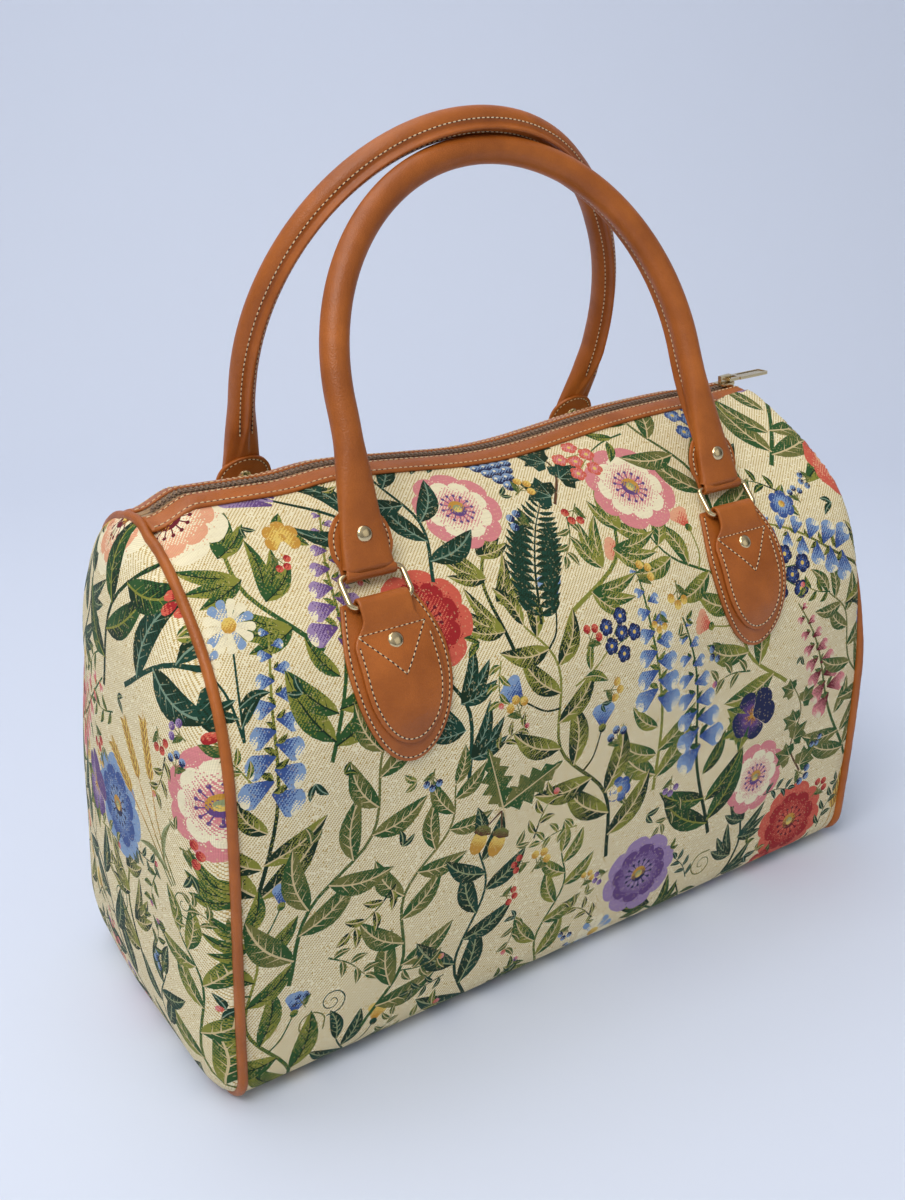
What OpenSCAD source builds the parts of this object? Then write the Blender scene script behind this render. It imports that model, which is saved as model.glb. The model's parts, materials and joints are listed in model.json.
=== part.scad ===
// Carpet bag: a woven holdall with a zip top, two rolled handles and riveted tabs.
// Millimetres. X runs along the bag, the front faces -Y, Z is up.
// The origin is the middle of the flat base.

/* [Bag body] */
// Length between the end seams at the base
bag_length = 430; // [400:1:460]
// Depth of the base
base_depth = 197; // [185:1:205]
// Depth at the widest level
belly_depth = 212; // [206:1:220]
// Height of the widest level
belly_height = 173; // [165:1:180]
// Radius of the base edges
base_edge_r = 23; // [15:1:30]
// Radius of the rounded shoulders
shoulder_r = 100; // [96:1:104]
// Turn of the shoulder before the roof begins
shoulder_turn = 50; // [46:1:54]
// Lean of each end seam at the top
end_lean = 13; // [0:1:20]
// Outward bulge of each end panel
end_bulge = 22; // [14:1:26]
// Draw-in of the shoulders at the end seams
end_pinch = 4; // [0:0.5:6]
// Thickness of the woven cloth
cloth_t = 1.6; // [1.2:0.1:2]
// Diameter of the piping
piping_d = 5.2; // [4:0.2:7]
// Reach of the piping beyond the cloth
piping_proud = 1.6; // [0.6:0.2:2.4]
// Thickness of the base board
board_t = 2.5; // [1.5:0.5:4]
// Margin round the base board
board_margin = 10; // [6:1:20]
// Thickness of the lining
lining_t = 0.8; // [0.6:0.1:1.2]
// Gap between cloth pieces that lie on each other
cloth_gap = 0.3; // [0.2:0.1:0.6]

/* [Zip] */
// Height of the zip at the middle of its run
zip_mid_height = 286; // [280:0.5:290]
// Rise of the zip from its middle to the ends of its run
zip_sag = 5; // [3:0.5:8]
// Distance from the ends of the bag to the ends of the facings and tapes
facing_margin = 16; // [16:1:24]
// Step down from the zip to the top of the end seams
end_drop = 8.5; // [6:0.5:10]
// Half of the gap between the two facings
facing_gap_half = 5.6; // [5.2:0.1:6.5]
// Width of each facing strip
facing_width = 13; // [11:0.5:15]
// Thickness of each facing strip
facing_t = 1.8; // [1.2:0.1:2.4]
// Fall of the facings per millimetre of width
facing_fall = 0.25; // [0.15:0.01:0.35]
// Part of each facing that lies over the cloth
facing_lap = 4.8; // [3:0.2:5]
// Width of each zip tape
tape_width = 12.4; // [10:0.2:12.4]
// Thickness of each zip tape
tape_t = 0.7; // [0.5:0.1:1]
// Spacing of the coil turns on one side
coil_pitch = 2.9; // [2.4:0.1:4]
// Width of one coil turn
coil_turn_w = 1; // [0.8:0.1:1.3]
// Height of the coil above the tape
coil_height = 1.5; // [1.2:0.1:2]
// Width of each side of the coil
coil_half_width = 3.2; // [2.6:0.1:3.2]
// Reach of each coil turn past the middle
coil_reach = 0.9; // [0.5:0.1:1.2]
// Distance from the end of the bag to the slider when the zip is closed
slider_margin = 27; // [27:1:60]
// Length of the slider
slider_length = 12; // [10:0.5:14]
// Width of the slider
slider_width = 9.2; // [8:0.2:9.6]
// Thickness of the slider's plate and flanges
slider_t = 1.2; // [0.8:0.1:1.4]
// Running clearance of the slider
slider_clear = 0.35; // [0.25:0.05:0.5]
// Height of the window under the slider's bridge
bridge_window = 3.2; // [3:0.1:4]
// Width of the bridge
bridge_width = 2.6; // [2:0.2:3]
// Diameter of the pull's cross bar
pull_bar_d = 2; // [1.6:0.1:2.2]
// Length of the pull from its bar
pull_length = 33; // [26:1:34]
// Width of the pull
pull_width = 9.4; // [8:0.2:9.6]
// Thickness of the pull
pull_t = 1.8; // [1.4:0.1:2]
// Depth of the pull's sunk field
pull_sink = 0.4; // [0.2:0.1:0.5]
// Droop of the pull at rest
pull_droop = 2; // [0:0.5:2.5]

/* [Tabs and rings] */
// Distance of each tab from the middle of the bag
tab_x = 115.5; // [105:0.5:125]
// Angle of the tab's middle round the shoulder
tab_angle = 22; // [18:1:26]
// Width of the tab base
tab_base_w = 55; // [48:1:60]
// Width of the tab base at its top edge
tab_base_top_w = 40; // [36:1:44]
// Half height of the tab base
tab_base_half_h = 40; // [36:1:44]
// Width of the tab strap
strap_w = 43; // [38:1:46]
// Width of the straps where they pass through a ring
loop_w = 28; // [24:0.5:29]
// Reach of the tab strap below the middle of the tab
strap_drop = 31; // [28:1:34]
// Thickness of the leather
leather_t = 1.8; // [1.4:0.1:2]
// Angle of the ring's lower bar round the shoulder
ring_angle = 43; // [42:0.5:45]
// Width of a ring between the middles of its bars
ring_w = 34.3; // [33:0.1:38]
// Height of a ring between the middles of its bars
ring_h = 16.4; // [15:0.2:17]
// Diameter of the ring wire
wire_d = 3; // [2.4:0.1:3.2]
// Corner radius of a ring
ring_corner_r = 3.2; // [2:0.2:4]
// Running clearance round a ring bar
bar_clear = 0.08; // [0.05:0.01:0.1]
// Angle of the tab rivet round the shoulder
tab_rivet_angle = 32.5; // [30:0.5:34]
// Diameter of the rivet caps
rivet_cap_d = 8.2; // [7:0.2:9]
// Height of the rivet caps
rivet_cap_h = 1.6; // [1:0.1:2]
// Diameter of the rivet posts
rivet_post_d = 3; // [2:0.1:3.4]
// Clearance round the rivet posts
rivet_clear = 0.08; // [0.05:0.01:0.2]

/* [Handles] */
// Diameter of the handle roll
handle_d = 13.6; // [12:0.2:13.8]
// Reach of the stitched lip on the side of the roll that faces the other handle
handle_lip = 3.4; // [2:0.2:4]
// Thickness of the stitched lip
handle_lip_t = 2.6; // [2:0.2:3.4]
// Height at which the straight legs end
handle_leg = 80; // [70:1:90]
// Rise of the front handle above its rings
front_rise = 196; // [188:1:196]
// Half span of the front handle
front_span = 111; // [106:1:114]
// Inward lean of the front handle
front_lean = 20.2; // [12:0.1:20.2]
// Rise of the rear handle above its rings
rear_rise = 211; // [211:1:218]
// Half span of the rear handle
rear_span = 120; // [117:1:124]
// Inward lean of the rear handle
rear_lean = 20.2; // [12:0.1:20.2]
// Half thickness of the flattened handle ends
end_half_t = 2.4; // [2:0.1:2.8]
// Height at which the flattened end begins to round
end_flat_h = 25; // [22:1:30]
// Height at which the handle is fully round
end_round_h = 50; // [42:1:60]
// Width of the ear that is folded back
ear_w = 34; // [30:1:38]
// Height of the ear above the ring bar
ear_h = 32; // [31:1:38]
// Height of the handle rivet above the ring bar
handle_rivet_h = 18; // [14:1:19]

/* [Hidden] */
$fn = 64;

half_length = bag_length / 2;
base_half = base_depth / 2;
belly_half = belly_depth / 2;
shoulder_y = belly_half - shoulder_r;
piping_r = piping_d / 2;
piping_in = piping_r - piping_proud;
facing_half_length = half_length - facing_margin;
zip_half_run = facing_half_length - 9;
slider_rest_x = half_length - slider_margin;
zip_radius = (zip_half_run * zip_half_run + zip_sag * zip_sag) / (2 * zip_sag);
zip_axis_z = zip_mid_height + zip_radius;
facing_outer = facing_gap_half + facing_width;
tape_flat = 5;
lap_gap = 0.3;
tape_inner = 0.6;
tape_outer = tape_inner + tape_width;
end_top_z = zip_height(facing_half_length) - end_drop;
wire_r = wire_d / 2;
bore_r = wire_r + bar_clear;
loop_r = bore_r + leather_t;
tab_base_in = shoulder_r + cloth_gap;
strap_in = tab_base_in + leather_t;
bar_radius = strap_in + loop_r + 0.2;
bar_y = shoulder_y + bar_radius * cos(ring_angle);
bar_z = belly_height + bar_radius * sin(ring_angle);
upper_y = bar_y - ring_h * sin(ring_angle);
upper_z = bar_z + ring_h * cos(ring_angle);
rivet_seat = strap_in + leather_t - 0.12;
ear_seat = end_half_t + 0.3;
slider_plate = coil_height + slider_clear;
pull_bar_h = slider_plate + slider_t + bridge_window / 2;
pull_bar_x = 1.4;
wrap_steps = [-1, -0.95, -0.87, -0.6, -0.3, 0, 0.3, 0.6, 0.87, 0.95, 1];
lining_steps = [-1, -0.95, -0.6, -0.2, 0.2, 0.6, 0.95, 1];
// Shares of the way from the middle of an end to its seam, close together where the cloth rolls over
dome_steps = [0.45, 0.72, 0.88, 0.955, 0.988, 1];
lining_dome_steps = [0.72, 0.955, 1];
cloth_green = [0.62, 0.6, 0.46];
leather_tan = [0.72, 0.43, 0.22];
metal_gold = [0.86, 0.76, 0.52];
zip_brown = [0.36, 0.22, 0.13];

// Curves of the body

function zip_height(x) = zip_axis_z - sqrt(zip_radius * zip_radius - x * x);
function end_x(z) = half_length - end_lean * pow(z / end_top_z, 2);
function facing_level(d) = -facing_fall * (d - tape_flat);

// Half section from the middle of the base to the shoulder, as distance out and height
function lower_half(n) = concat(
    [for (i = [0 : 2]) [(base_half - base_edge_r) * i / 3, 0]],
    [for (i = [0 : n]) let (a = 90 * i / n)
        [base_half - base_edge_r + base_edge_r * sin(a), base_edge_r - base_edge_r * cos(a)]],
    [for (i = [1 : n]) let (t = i / (n + 1))
        [base_half + (belly_half - base_half) * sin(90 * t), base_edge_r + (belly_height - base_edge_r) * t]],
    [for (i = [0 : n + 3]) let (a = shoulder_turn * i / (n + 3))
        [shoulder_y + shoulder_r * cos(a), belly_height + shoulder_r * sin(a)]]);

// Roof from the shoulder up to the lap under the zip facing
function roof(crown, n) = let (
        a = [shoulder_y + shoulder_r * cos(shoulder_turn), belly_height + shoulder_r * sin(shoulder_turn)],
        e = [facing_outer, crown + facing_level(facing_outer) - lap_gap],
        k = (a[0] - e[0]) * 0.62,
        m = a + k * [-1, cos(shoulder_turn) / sin(shoulder_turn)])
    [for (i = [1 : n]) let (t = i / n) (1 - t) * (1 - t) * a + 2 * t * (1 - t) * m + t * t * e];

function lap_point(crown) = let (d = facing_outer - facing_lap) [d, crown + facing_level(d) - lap_gap];
function half_section(crown, n, k) = concat(pinched(concat(lower_half(n), roof(crown, n)), k), [lap_point(crown)]);

// The filled body stands proud of its end seams from the belly up. k is the share of the draw-in.
function pinch_share(u) = pow(max(0, (abs(u) - 0.86) / 0.14), 2);
function pinched(h, k) = [for (i = [0 : len(h) - 1])
    h[i] - k * end_pinch * ease((h[i][1] - 130) / 70) * open_normal(h, i)];

// Whole section from the front lap, under the base, to the rear lap, as y and z
function whole_section(h) = concat(
    [for (i = [len(h) - 1 : -1 : 1]) [-h[i][0], h[i][1]]],
    [for (p = h) p]);

// Closed end outline that runs over the top as well
function end_outline(n) = let (h = pinched(concat(lower_half(n), roof(end_top_z, n)), 1), s = whole_section(h))
    concat(s, [[facing_outer * 0.5, end_top_z - 0.8], [0, end_top_z], [-facing_outer * 0.5, end_top_z - 0.8]]);

function unit(v) = v / norm(v);
function out_normal(a, b) = let (t = unit(b - a)) [t[1], -t[0]];
function open_normal(s, i) = out_normal(s[max(i - 1, 0)], s[min(i + 1, len(s) - 1)]);
function loop_normal(s, i) = out_normal(s[(i + len(s) - 1) % len(s)], s[(i + 1) % len(s)]);
function open_inset(s, d) = [for (i = [0 : len(s) - 1]) s[i] - d * open_normal(s, i)];
// The piping is drawn in at the base so that the cloth is what stands on the floor
function seam_inset(normal) = piping_in + (piping_r + 0.1 - piping_in) * pow(max(0, -normal[1]), 2);
function loop_inset(s, d) = [for (i = [0 : len(s) - 1])
    let (m = loop_normal(s, i)) s[i] - (d + seam_inset(m)) * m];

function crown_at(u) = abs(u) == 1 ? end_top_z : zip_height(u * facing_half_length);

// Thin sheet between two grids of points with the same rows and columns
module sheet(outer, inner) {
    rows = len(outer);
    cols = len(outer[0]);
    all_points = concat([for (r = outer) for (p = r) p], [for (r = inner) for (p = r) p]);
    count = rows * cols;
    faces = concat(
        [for (i = [0 : rows - 2]) for (j = [0 : cols - 2])
            [i * cols + j, i * cols + j + 1, (i + 1) * cols + j + 1, (i + 1) * cols + j]],
        [for (i = [0 : rows - 2]) for (j = [0 : cols - 2])
            [count + i * cols + j, count + (i + 1) * cols + j,
             count + (i + 1) * cols + j + 1, count + i * cols + j + 1]],
        [for (j = [0 : cols - 2]) [j, count + j, count + j + 1, j + 1]],
        [for (j = [0 : cols - 2]) let (b = (rows - 1) * cols)
            [b + j + 1, count + b + j + 1, count + b + j, b + j]],
        [for (i = [0 : rows - 2])
            [(i + 1) * cols, count + (i + 1) * cols, count + i * cols, i * cols]],
        [for (i = [0 : rows - 2]) let (b = cols - 1)
            [i * cols + b, count + i * cols + b, count + (i + 1) * cols + b, (i + 1) * cols + b]]);
    polyhedron(points = all_points, faces = faces, convexity = 10);
}

// Sheet that wraps the front, base and rear, set in from the outside by a depth
module wrap(steps, n, depth, thickness, end_gap) {
    function row(u, d) = let (
            s = whole_section(half_section(crown_at(u), n, pinch_share(u))),
            q = open_inset(s, d))
        [for (i = [0 : len(s) - 1]) [u * (end_x(s[i][1]) - end_gap), q[i][0], q[i][1]]];
    sheet([for (u = steps) row(u, depth)], [for (u = steps) row(u, depth + thickness)]);
}

// Height of a pillow-like end at a share of the way from its middle to its seam
function pillow(t) = pow(1 - pow(t, 4), 0.5);

// Domed end sheet at the right-hand end, set in from the seam by a depth
module end_dome(n, steps, rim_in, x_in, thickness, bulge) {
    rim = loop_inset(end_outline(n), rim_in);
    cols = len(rim);
    rings = len(steps);
    middle = [0, end_top_z * 0.47];
    function point(k, j, lift) = let (
            t = k == 0 ? 0 : steps[k - 1],
            p = middle + (rim[j] - middle) * t)
        [end_x(p[1]) - x_in + lift + bulge * pillow(t), p[0], p[1]];
    face = [for (k = [1 : rings]) for (j = [0 : cols - 1]) point(k, j, 0)];
    back = [for (k = [1 : rings]) for (j = [0 : cols - 1]) point(k, j, -thickness)];
    count = rings * cols;
    tip = 2 * count;
    faces = concat(
        [for (k = [0 : rings - 2]) for (j = [0 : cols - 1]) let (j2 = (j + 1) % cols)
            [k * cols + j, k * cols + j2, (k + 1) * cols + j2, (k + 1) * cols + j]],
        [for (k = [0 : rings - 2]) for (j = [0 : cols - 1]) let (j2 = (j + 1) % cols)
            [count + k * cols + j, count + (k + 1) * cols + j, count + (k + 1) * cols + j2, count + k * cols + j2]],
        [for (j = [0 : cols - 1]) [tip, (j + 1) % cols, j]],
        [for (j = [0 : cols - 1]) [tip + 1, count + j, count + (j + 1) % cols]],
        [for (j = [0 : cols - 1]) let (j2 = (j + 1) % cols, b = (rings - 1) * cols)
            [b + j, b + j2, count + b + j2, count + b + j]]);
    polyhedron(points = concat(face, back, [point(0, 0, 0), point(0, 0, -thickness)]),
        faces = faces, convexity = 6);
}

module mirror_x() { mirror([1, 0, 0]) children(); }

// Cloth pieces

module main_panel() {
    color(cloth_green) wrap(wrap_steps, 6, 0, cloth_t, piping_r + cloth_gap);
}

module right_end_panel() {
    color(cloth_green) end_dome(5, dome_steps, piping_r + cloth_gap, 0, cloth_t, end_bulge);
}

module left_end_panel() { mirror_x() right_end_panel(); }

module right_piping() {
    path = loop_inset(end_outline(5), 0);
    cols = len(path);
    sides = 8;
    points = [for (j = [0 : cols - 1]) let (m = loop_normal(path, j)) for (k = [0 : sides - 1])
        let (a = 360 * k / sides, p = path[j] + piping_r * cos(a) * m)
        [end_x(path[j][1]) + piping_r * sin(a), p[0], p[1]]];
    faces = [for (j = [0 : cols - 1]) for (k = [0 : sides - 1])
        let (j2 = (j + 1) % cols, k2 = (k + 1) % sides)
        [j * sides + k, j2 * sides + k, j2 * sides + k2, j * sides + k2]];
    color(leather_tan) polyhedron(points = points, faces = faces, convexity = 6);
}

module left_piping() { mirror_x() right_piping(); }

// Inside pieces

lining_depth = cloth_t + board_t + 2 * cloth_gap;

module lining_wrap() {
    color([0.3, 0.2, 0.14]) wrap(lining_steps, 3, lining_depth, lining_t, piping_r + cloth_gap);
}

module right_lining_end() {
    color([0.3, 0.2, 0.14])
        end_dome(5, lining_dome_steps, piping_r + cloth_gap, cloth_t + cloth_gap, lining_t, end_bulge);
}

module left_lining_end() { mirror_x() right_lining_end(); }

module base_board() {
    w = 2 * (half_length - board_margin);
    d = 2 * (base_half - base_edge_r) - 2;
    r = 12;
    color([0.55, 0.47, 0.36]) translate([0, 0, cloth_t + cloth_gap]) linear_extrude(board_t) union() {
        square([w - 2 * r, d], center = true);
        square([w, d - 2 * r], center = true);
        for (i = [-1, 1]) for (j = [-1, 1]) translate([i * (w / 2 - r), j * (d / 2 - r)]) circle(r);
    }
}

// Zip pieces, swept along the shallow curve of the run

module along_zip(reach) {
    turn = 2 * asin(reach / zip_radius);
    translate([0, 0, zip_axis_z]) rotate([90, 90, 0]) rotate([0, 0, -turn / 2])
        rotate_extrude(angle = turn, $fn = 256) children();
}

module at_zip(x) {
    translate([0, 0, zip_axis_z]) rotate([0, -asin(x / zip_radius), 0]) translate([0, 0, -zip_radius]) children();
}

// Turns a list of distance out and height into a swept section on the front side
module zip_section(list) { polygon([for (p = list) [zip_radius - p[1], p[0]]]); }

module other_side() { rotate([0, 0, 180]) children(); }

module front_zip_facing() {
    inner = facing_level(facing_gap_half);
    outer = facing_level(facing_outer);
    color(leather_tan) along_zip(facing_half_length) zip_section([
        [facing_gap_half, inner], [facing_outer, outer],
        [facing_outer, outer + facing_t], [facing_gap_half, inner + facing_t]]);
}

module rear_zip_facing() { other_side() front_zip_facing(); }

module front_zip_tape() {
    outer = facing_level(tape_outer);
    color([0.62, 0.5, 0.34]) along_zip(facing_half_length) zip_section([
        [tape_inner, 0], [tape_flat, 0], [tape_outer, outer],
        [tape_outer, outer - tape_t], [tape_flat, -tape_t], [tape_inner, -tape_t]]);
}

module rear_zip_tape() { other_side() front_zip_tape(); }

module coil_side(shift) {
    cord = 1.2;
    reach = facing_half_length - 2;
    turns = floor((2 * reach - 4) / coil_pitch);
    color(zip_brown) union() {
        along_zip(reach) zip_section([[coil_half_width - cord, 0], [coil_half_width, 0],
            [coil_half_width, coil_height], [coil_half_width - cord, coil_height]]);
        for (i = [0 : turns - 1])
            at_zip((i - (turns - 1) / 2) * coil_pitch + shift)
                translate([-coil_turn_w / 2, -coil_half_width + cord / 2, 0.15])
                    cube([coil_turn_w, coil_half_width - cord / 2 + coil_reach, coil_height - 0.3]);
    }
}

module front_zip_coil() { coil_side(-coil_pitch / 4); }
module rear_zip_coil() { other_side() coil_side(-coil_pitch / 4); }

module zip_slider() {
    post = 1.3;
    nose_r = slider_width * 0.7;
    window_half = 3.1;
    color(metal_gold) at_zip(slider_rest_x) union() {
        translate([0, 0, slider_plate]) linear_extrude(slider_t) intersection() {
            square([slider_length, slider_width], center = true);
            translate([slider_length / 2 - nose_r, 0]) circle(nose_r);
        }
        for (s = [-1, 1])
            translate([-slider_length * 0.2, s * (slider_width / 2 - slider_t / 2) - slider_t / 2, slider_clear])
                cube([slider_length * 0.5, slider_t, slider_plate]);
        for (s = [-1, 1])
            translate([s * (window_half + post / 2) - post / 2, -bridge_width / 2, slider_plate + slider_t / 2])
                cube([post, bridge_width, bridge_window + slider_t]);
        translate([-window_half - post, -bridge_width / 2, slider_plate + slider_t + bridge_window])
            cube([2 * (window_half + post), bridge_width, 1.2]);
    }
}

module zip_pull() {
    arm_in = bridge_width / 2 + 0.5;
    arm_out = pull_width / 2 - 0.6;
    plate_from = 8;
    corner = 2.2;
    rim = 1.3;
    color(metal_gold) at_zip(slider_rest_x) translate([pull_bar_x, 0, pull_bar_h]) rotate([0, pull_droop, 0]) union() {
        translate([0, -arm_out, 0]) rotate([-90, 0, 0]) cylinder(d = pull_bar_d, h = 2 * arm_out, $fn = 32);
        for (s = [-1, 1])
            translate([0, s > 0 ? arm_in : -arm_out, -pull_t / 2]) cube([plate_from + 1, arm_out - arm_in, pull_t]);
        difference() {
            translate([0, 0, -pull_t / 2]) linear_extrude(pull_t) union() {
                translate([plate_from, -pull_width / 2])
                    square([pull_length - plate_from - corner, pull_width]);
                translate([plate_from, -pull_width / 2 + corner])
                    square([pull_length - plate_from, pull_width - 2 * corner]);
                for (s = [-1, 1])
                    translate([pull_length - corner, s * (pull_width / 2 - corner)]) circle(corner, $fn = 32);
            }
            translate([plate_from + 3, -pull_width / 2 + rim, pull_t / 2 - pull_sink])
                cube([pull_length - plate_from - 3 - rim, pull_width - 2 * rim, pull_t]);
        }
    }
}

// Tabs on the rounded shoulder, drawn for the front right one

module at_shoulder(angle) {
    translate([tab_x, -shoulder_y, belly_height]) rotate([90 - angle, 0, 0]) children();
}

module shoulder_shell(inner, thickness) {
    w = tab_base_w + 4;
    translate([tab_x - w / 2, -shoulder_y, belly_height]) rotate([0, 90, 0]) difference() {
        cylinder(r = inner + thickness, h = w, $fn = 128);
        translate([0, 0, -1]) cylinder(r = inner, h = w + 2, $fn = 128);
    }
}

// Rounded lower end of an outline, from its right corner to its left corner
function round_end(half_w, from, to) = [for (i = [0 : 16]) let (a = 180 * i / 16)
    [half_w * cos(a), from - (from - to) * sin(a)]];

module tab_base_outline() {
    widest = 8;
    sides = [for (i = [1 : 4]) let (t = i / 4)
        [tab_base_w / 2 - (tab_base_w - tab_base_top_w) / 2 * (1 - cos(90 * t)), widest + (tab_base_half_h - widest) * t]];
    polygon(concat(round_end(tab_base_w / 2, widest, -tab_base_half_h),
        [for (p = sides) [-p[0], p[1]]], [for (i = [3 : -1 : 0]) sides[i]]));
}

module strap_outline() {
    top = bar_radius * sin(ring_angle - tab_angle);
    neck = [loop_w / 2, 32];
    hip = [strap_w / 2, 18];
    sides = concat([for (i = [0 : 4]) let (t = i / 4)
        [hip[0] + (neck[0] - hip[0]) * (1 - cos(180 * t)) / 2, hip[1] + (neck[1] - hip[1]) * t]], [[neck[0], top]]);
    polygon(concat(round_end(strap_w / 2, 2, -strap_drop),
        [for (p = sides) [-p[0], p[1]]], [for (i = [len(sides) - 1 : -1 : 0]) sides[i]]));
}

module rivet_hole(angle) {
    at_shoulder(angle) translate([0, 0, shoulder_r - 5]) cylinder(d = rivet_post_d + 2 * rivet_clear, h = 20);
}

module tab_base_leather() {
    color(leather_tan) difference() {
        intersection() {
            shoulder_shell(tab_base_in, leather_t);
            at_shoulder(tab_angle) translate([0, 0, shoulder_r / 2]) linear_extrude(shoulder_r) tab_base_outline();
        }
        rivet_hole(tab_rivet_angle);
    }
}

// Section across the bar that carries the strap from its loop down onto the base
module strap_fold() {
    fall = 14.5;
    w = loop_w - 0.4;
    translate([tab_x - w / 2, -bar_y, bar_z]) rotate([0, 0, 90]) rotate([90, 0, 0]) linear_extrude(w)
        rotate(270 - ring_angle) union() {
            circle(loop_r);
            polygon([[0.6, -loop_r + 0.28], [0, 0], [0, loop_r - 0.8], [fall / 2, loop_r - 0.5],
                [fall, loop_r + 0.3], [fall, loop_r - 1]]);
        }
}

module tab_strap_leather() {
    color(leather_tan) difference() {
        union() {
            intersection() {
                shoulder_shell(strap_in, leather_t);
                at_shoulder(tab_angle) translate([0, 0, shoulder_r / 2]) linear_extrude(shoulder_r) strap_outline();
            }
            strap_fold();
        }
        translate([tab_x - loop_w, -bar_y, bar_z]) rotate([0, 90, 0]) cylinder(r = bore_r, h = 2 * loop_w);
        rivet_hole(tab_rivet_angle);
        at_shoulder(tab_rivet_angle) translate([0, 0, rivet_seat]) cylinder(d = rivet_cap_d + 0.6, h = 8);
    }
}

// Domed rivet cap that sits on its flat side
module rivet_cap() {
    r = (rivet_cap_d * rivet_cap_d / 4 + rivet_cap_h * rivet_cap_h) / (2 * rivet_cap_h);
    intersection() {
        translate([0, 0, rivet_cap_h - r]) sphere(r);
        cylinder(d = rivet_cap_d, h = rivet_cap_h + 1);
    }
}

module tab_rivet() {
    at_shoulder(tab_rivet_angle) union() {
        translate([0, 0, rivet_seat]) rivet_cap();
        translate([0, 0, tab_base_in + 0.1]) cylinder(d = rivet_post_d, h = rivet_seat - tab_base_in + 0.5);
    }
}

module front_right_tab_base() { tab_base_leather(); }
module front_left_tab_base() { mirror_x() tab_base_leather(); }
module rear_left_tab_base() { other_side() tab_base_leather(); }
module rear_right_tab_base() { other_side() front_left_tab_base(); }
module front_right_tab_strap() { tab_strap_leather(); }
module front_left_tab_strap() { mirror_x() tab_strap_leather(); }
module rear_left_tab_strap() { other_side() tab_strap_leather(); }
module rear_right_tab_strap() { other_side() front_left_tab_strap(); }

module tab_rivets() {
    color(metal_gold) {
        tab_rivet();
        mirror_x() tab_rivet();
        other_side() tab_rivet();
        other_side() mirror_x() tab_rivet();
    }
}

// Ring at the front right, with its lower bar on the tab and its upper bar in the handle
module ring_wire() {
    bar_w = ring_w - 2 * ring_corner_r;
    bar_h = ring_h - 2 * ring_corner_r;
    color(metal_gold) translate([tab_x, -bar_y, bar_z]) rotate([-ring_angle, 0, 0]) union() {
        for (z = [0, ring_h]) translate([-bar_w / 2, 0, z]) rotate([0, 90, 0]) cylinder(r = wire_r, h = bar_w);
        for (s = [-1, 1])
            translate([s * ring_w / 2, 0, ring_corner_r]) cylinder(r = wire_r, h = bar_h);
        for (s = [-1, 1]) for (t = [0, 1])
            translate([s * bar_w / 2, 0, ring_corner_r + t * bar_h])
                rotate([90, 0, 0]) rotate([0, 0, s > 0 ? (t > 0 ? 0 : 270) : (t > 0 ? 90 : 180)])
                    rotate_extrude(angle = 90) translate([ring_corner_r, 0]) circle(wire_r);
    }
}

module front_right_ring() { ring_wire(); }
module front_left_ring() { mirror_x() ring_wire(); }
module rear_left_ring() { other_side() ring_wire(); }
module rear_right_ring() { other_side() front_left_ring(); }

// Handles, drawn upright on the upper bars with the outer side facing -Y

function ease(t) = let (c = max(0, min(1, t))) c * c * (3 - 2 * c);

// Stations of the centre line as x and height, from the right foot over the top to the left foot
function handle_path(rise, span) = let (
        leg = [for (h = [6, 12, 18, 25, 31, 37, 43, 50, 65]) [tab_x + (span - tab_x) * ease(h / handle_leg), h]],
        arch = [for (i = [0 : 16]) let (a = 180 * i / 16) [span * cos(a), handle_leg + (rise - handle_leg) * sin(a)]])
    concat(leg, arch, [for (i = [len(leg) - 1 : -1 : 0]) [-leg[i][0], leg[i][1]]]);

function signed_power(v, p) = sign(v) * pow(abs(v), p);

// One cross section: flat near the feet, round above, with a lip on the +Y side
function handle_section(h) = let (
        k = ease((h - end_flat_h) / (end_round_h - end_flat_h)),
        half_w = (loop_w / 2 - 3 * h / end_flat_h * (1 - k)) * (1 - k) + handle_d / 2 * k,
        half_t = end_half_t * (1 - k) + handle_d / 2 * k,
        lip = handle_lip * k,
        lip_half = handle_lip_t / 2 * k + 2 * (1 - k),
        p = 0.45 + 0.55 * k)
    concat(
        [for (i = [0 : 10]) let (a = 120 + 30 * i)
            [half_w * signed_power(cos(a), p), half_t * signed_power(sin(a), p)]],
        [[lip_half, half_t + lip], [-lip_half, half_t + lip]]);

module handle_roll(rise, span) {
    path = handle_path(rise, span);
    rows = len(path);
    cols = len(handle_section(0));
    points = [for (i = [0 : rows - 1]) let (
            t = unit(path[min(i + 1, rows - 1)] - path[max(i - 1, 0)]),
            out = [t[1], -t[0]],
            s = handle_section(path[i][1]))
        for (q = s) [path[i][0] + q[0] * out[0], q[1], path[i][1] + q[0] * out[1]]];
    faces = concat(
        [for (i = [0 : rows - 2]) for (j = [0 : cols - 1]) let (j2 = (j + 1) % cols)
            [i * cols + j, (i + 1) * cols + j, (i + 1) * cols + j2, i * cols + j2]],
        [[for (j = [0 : cols - 1]) j], [for (j = [cols - 1 : -1 : 0]) (rows - 1) * cols + j]]);
    polyhedron(points = points, faces = faces, convexity = 8);
}

// Loop round the ring bar with the two layers closing above it
module handle_loop() {
    close = 9;
    translate([-loop_w / 2, 0, 0]) rotate([0, 0, 90]) rotate([90, 0, 0]) linear_extrude(loop_w) union() {
        circle(loop_r);
        polygon([[-loop_r * 0.98, loop_r * 0.2], [loop_r * 0.98, loop_r * 0.2], [end_half_t, close], [-end_half_t, close]]);
    }
}

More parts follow.
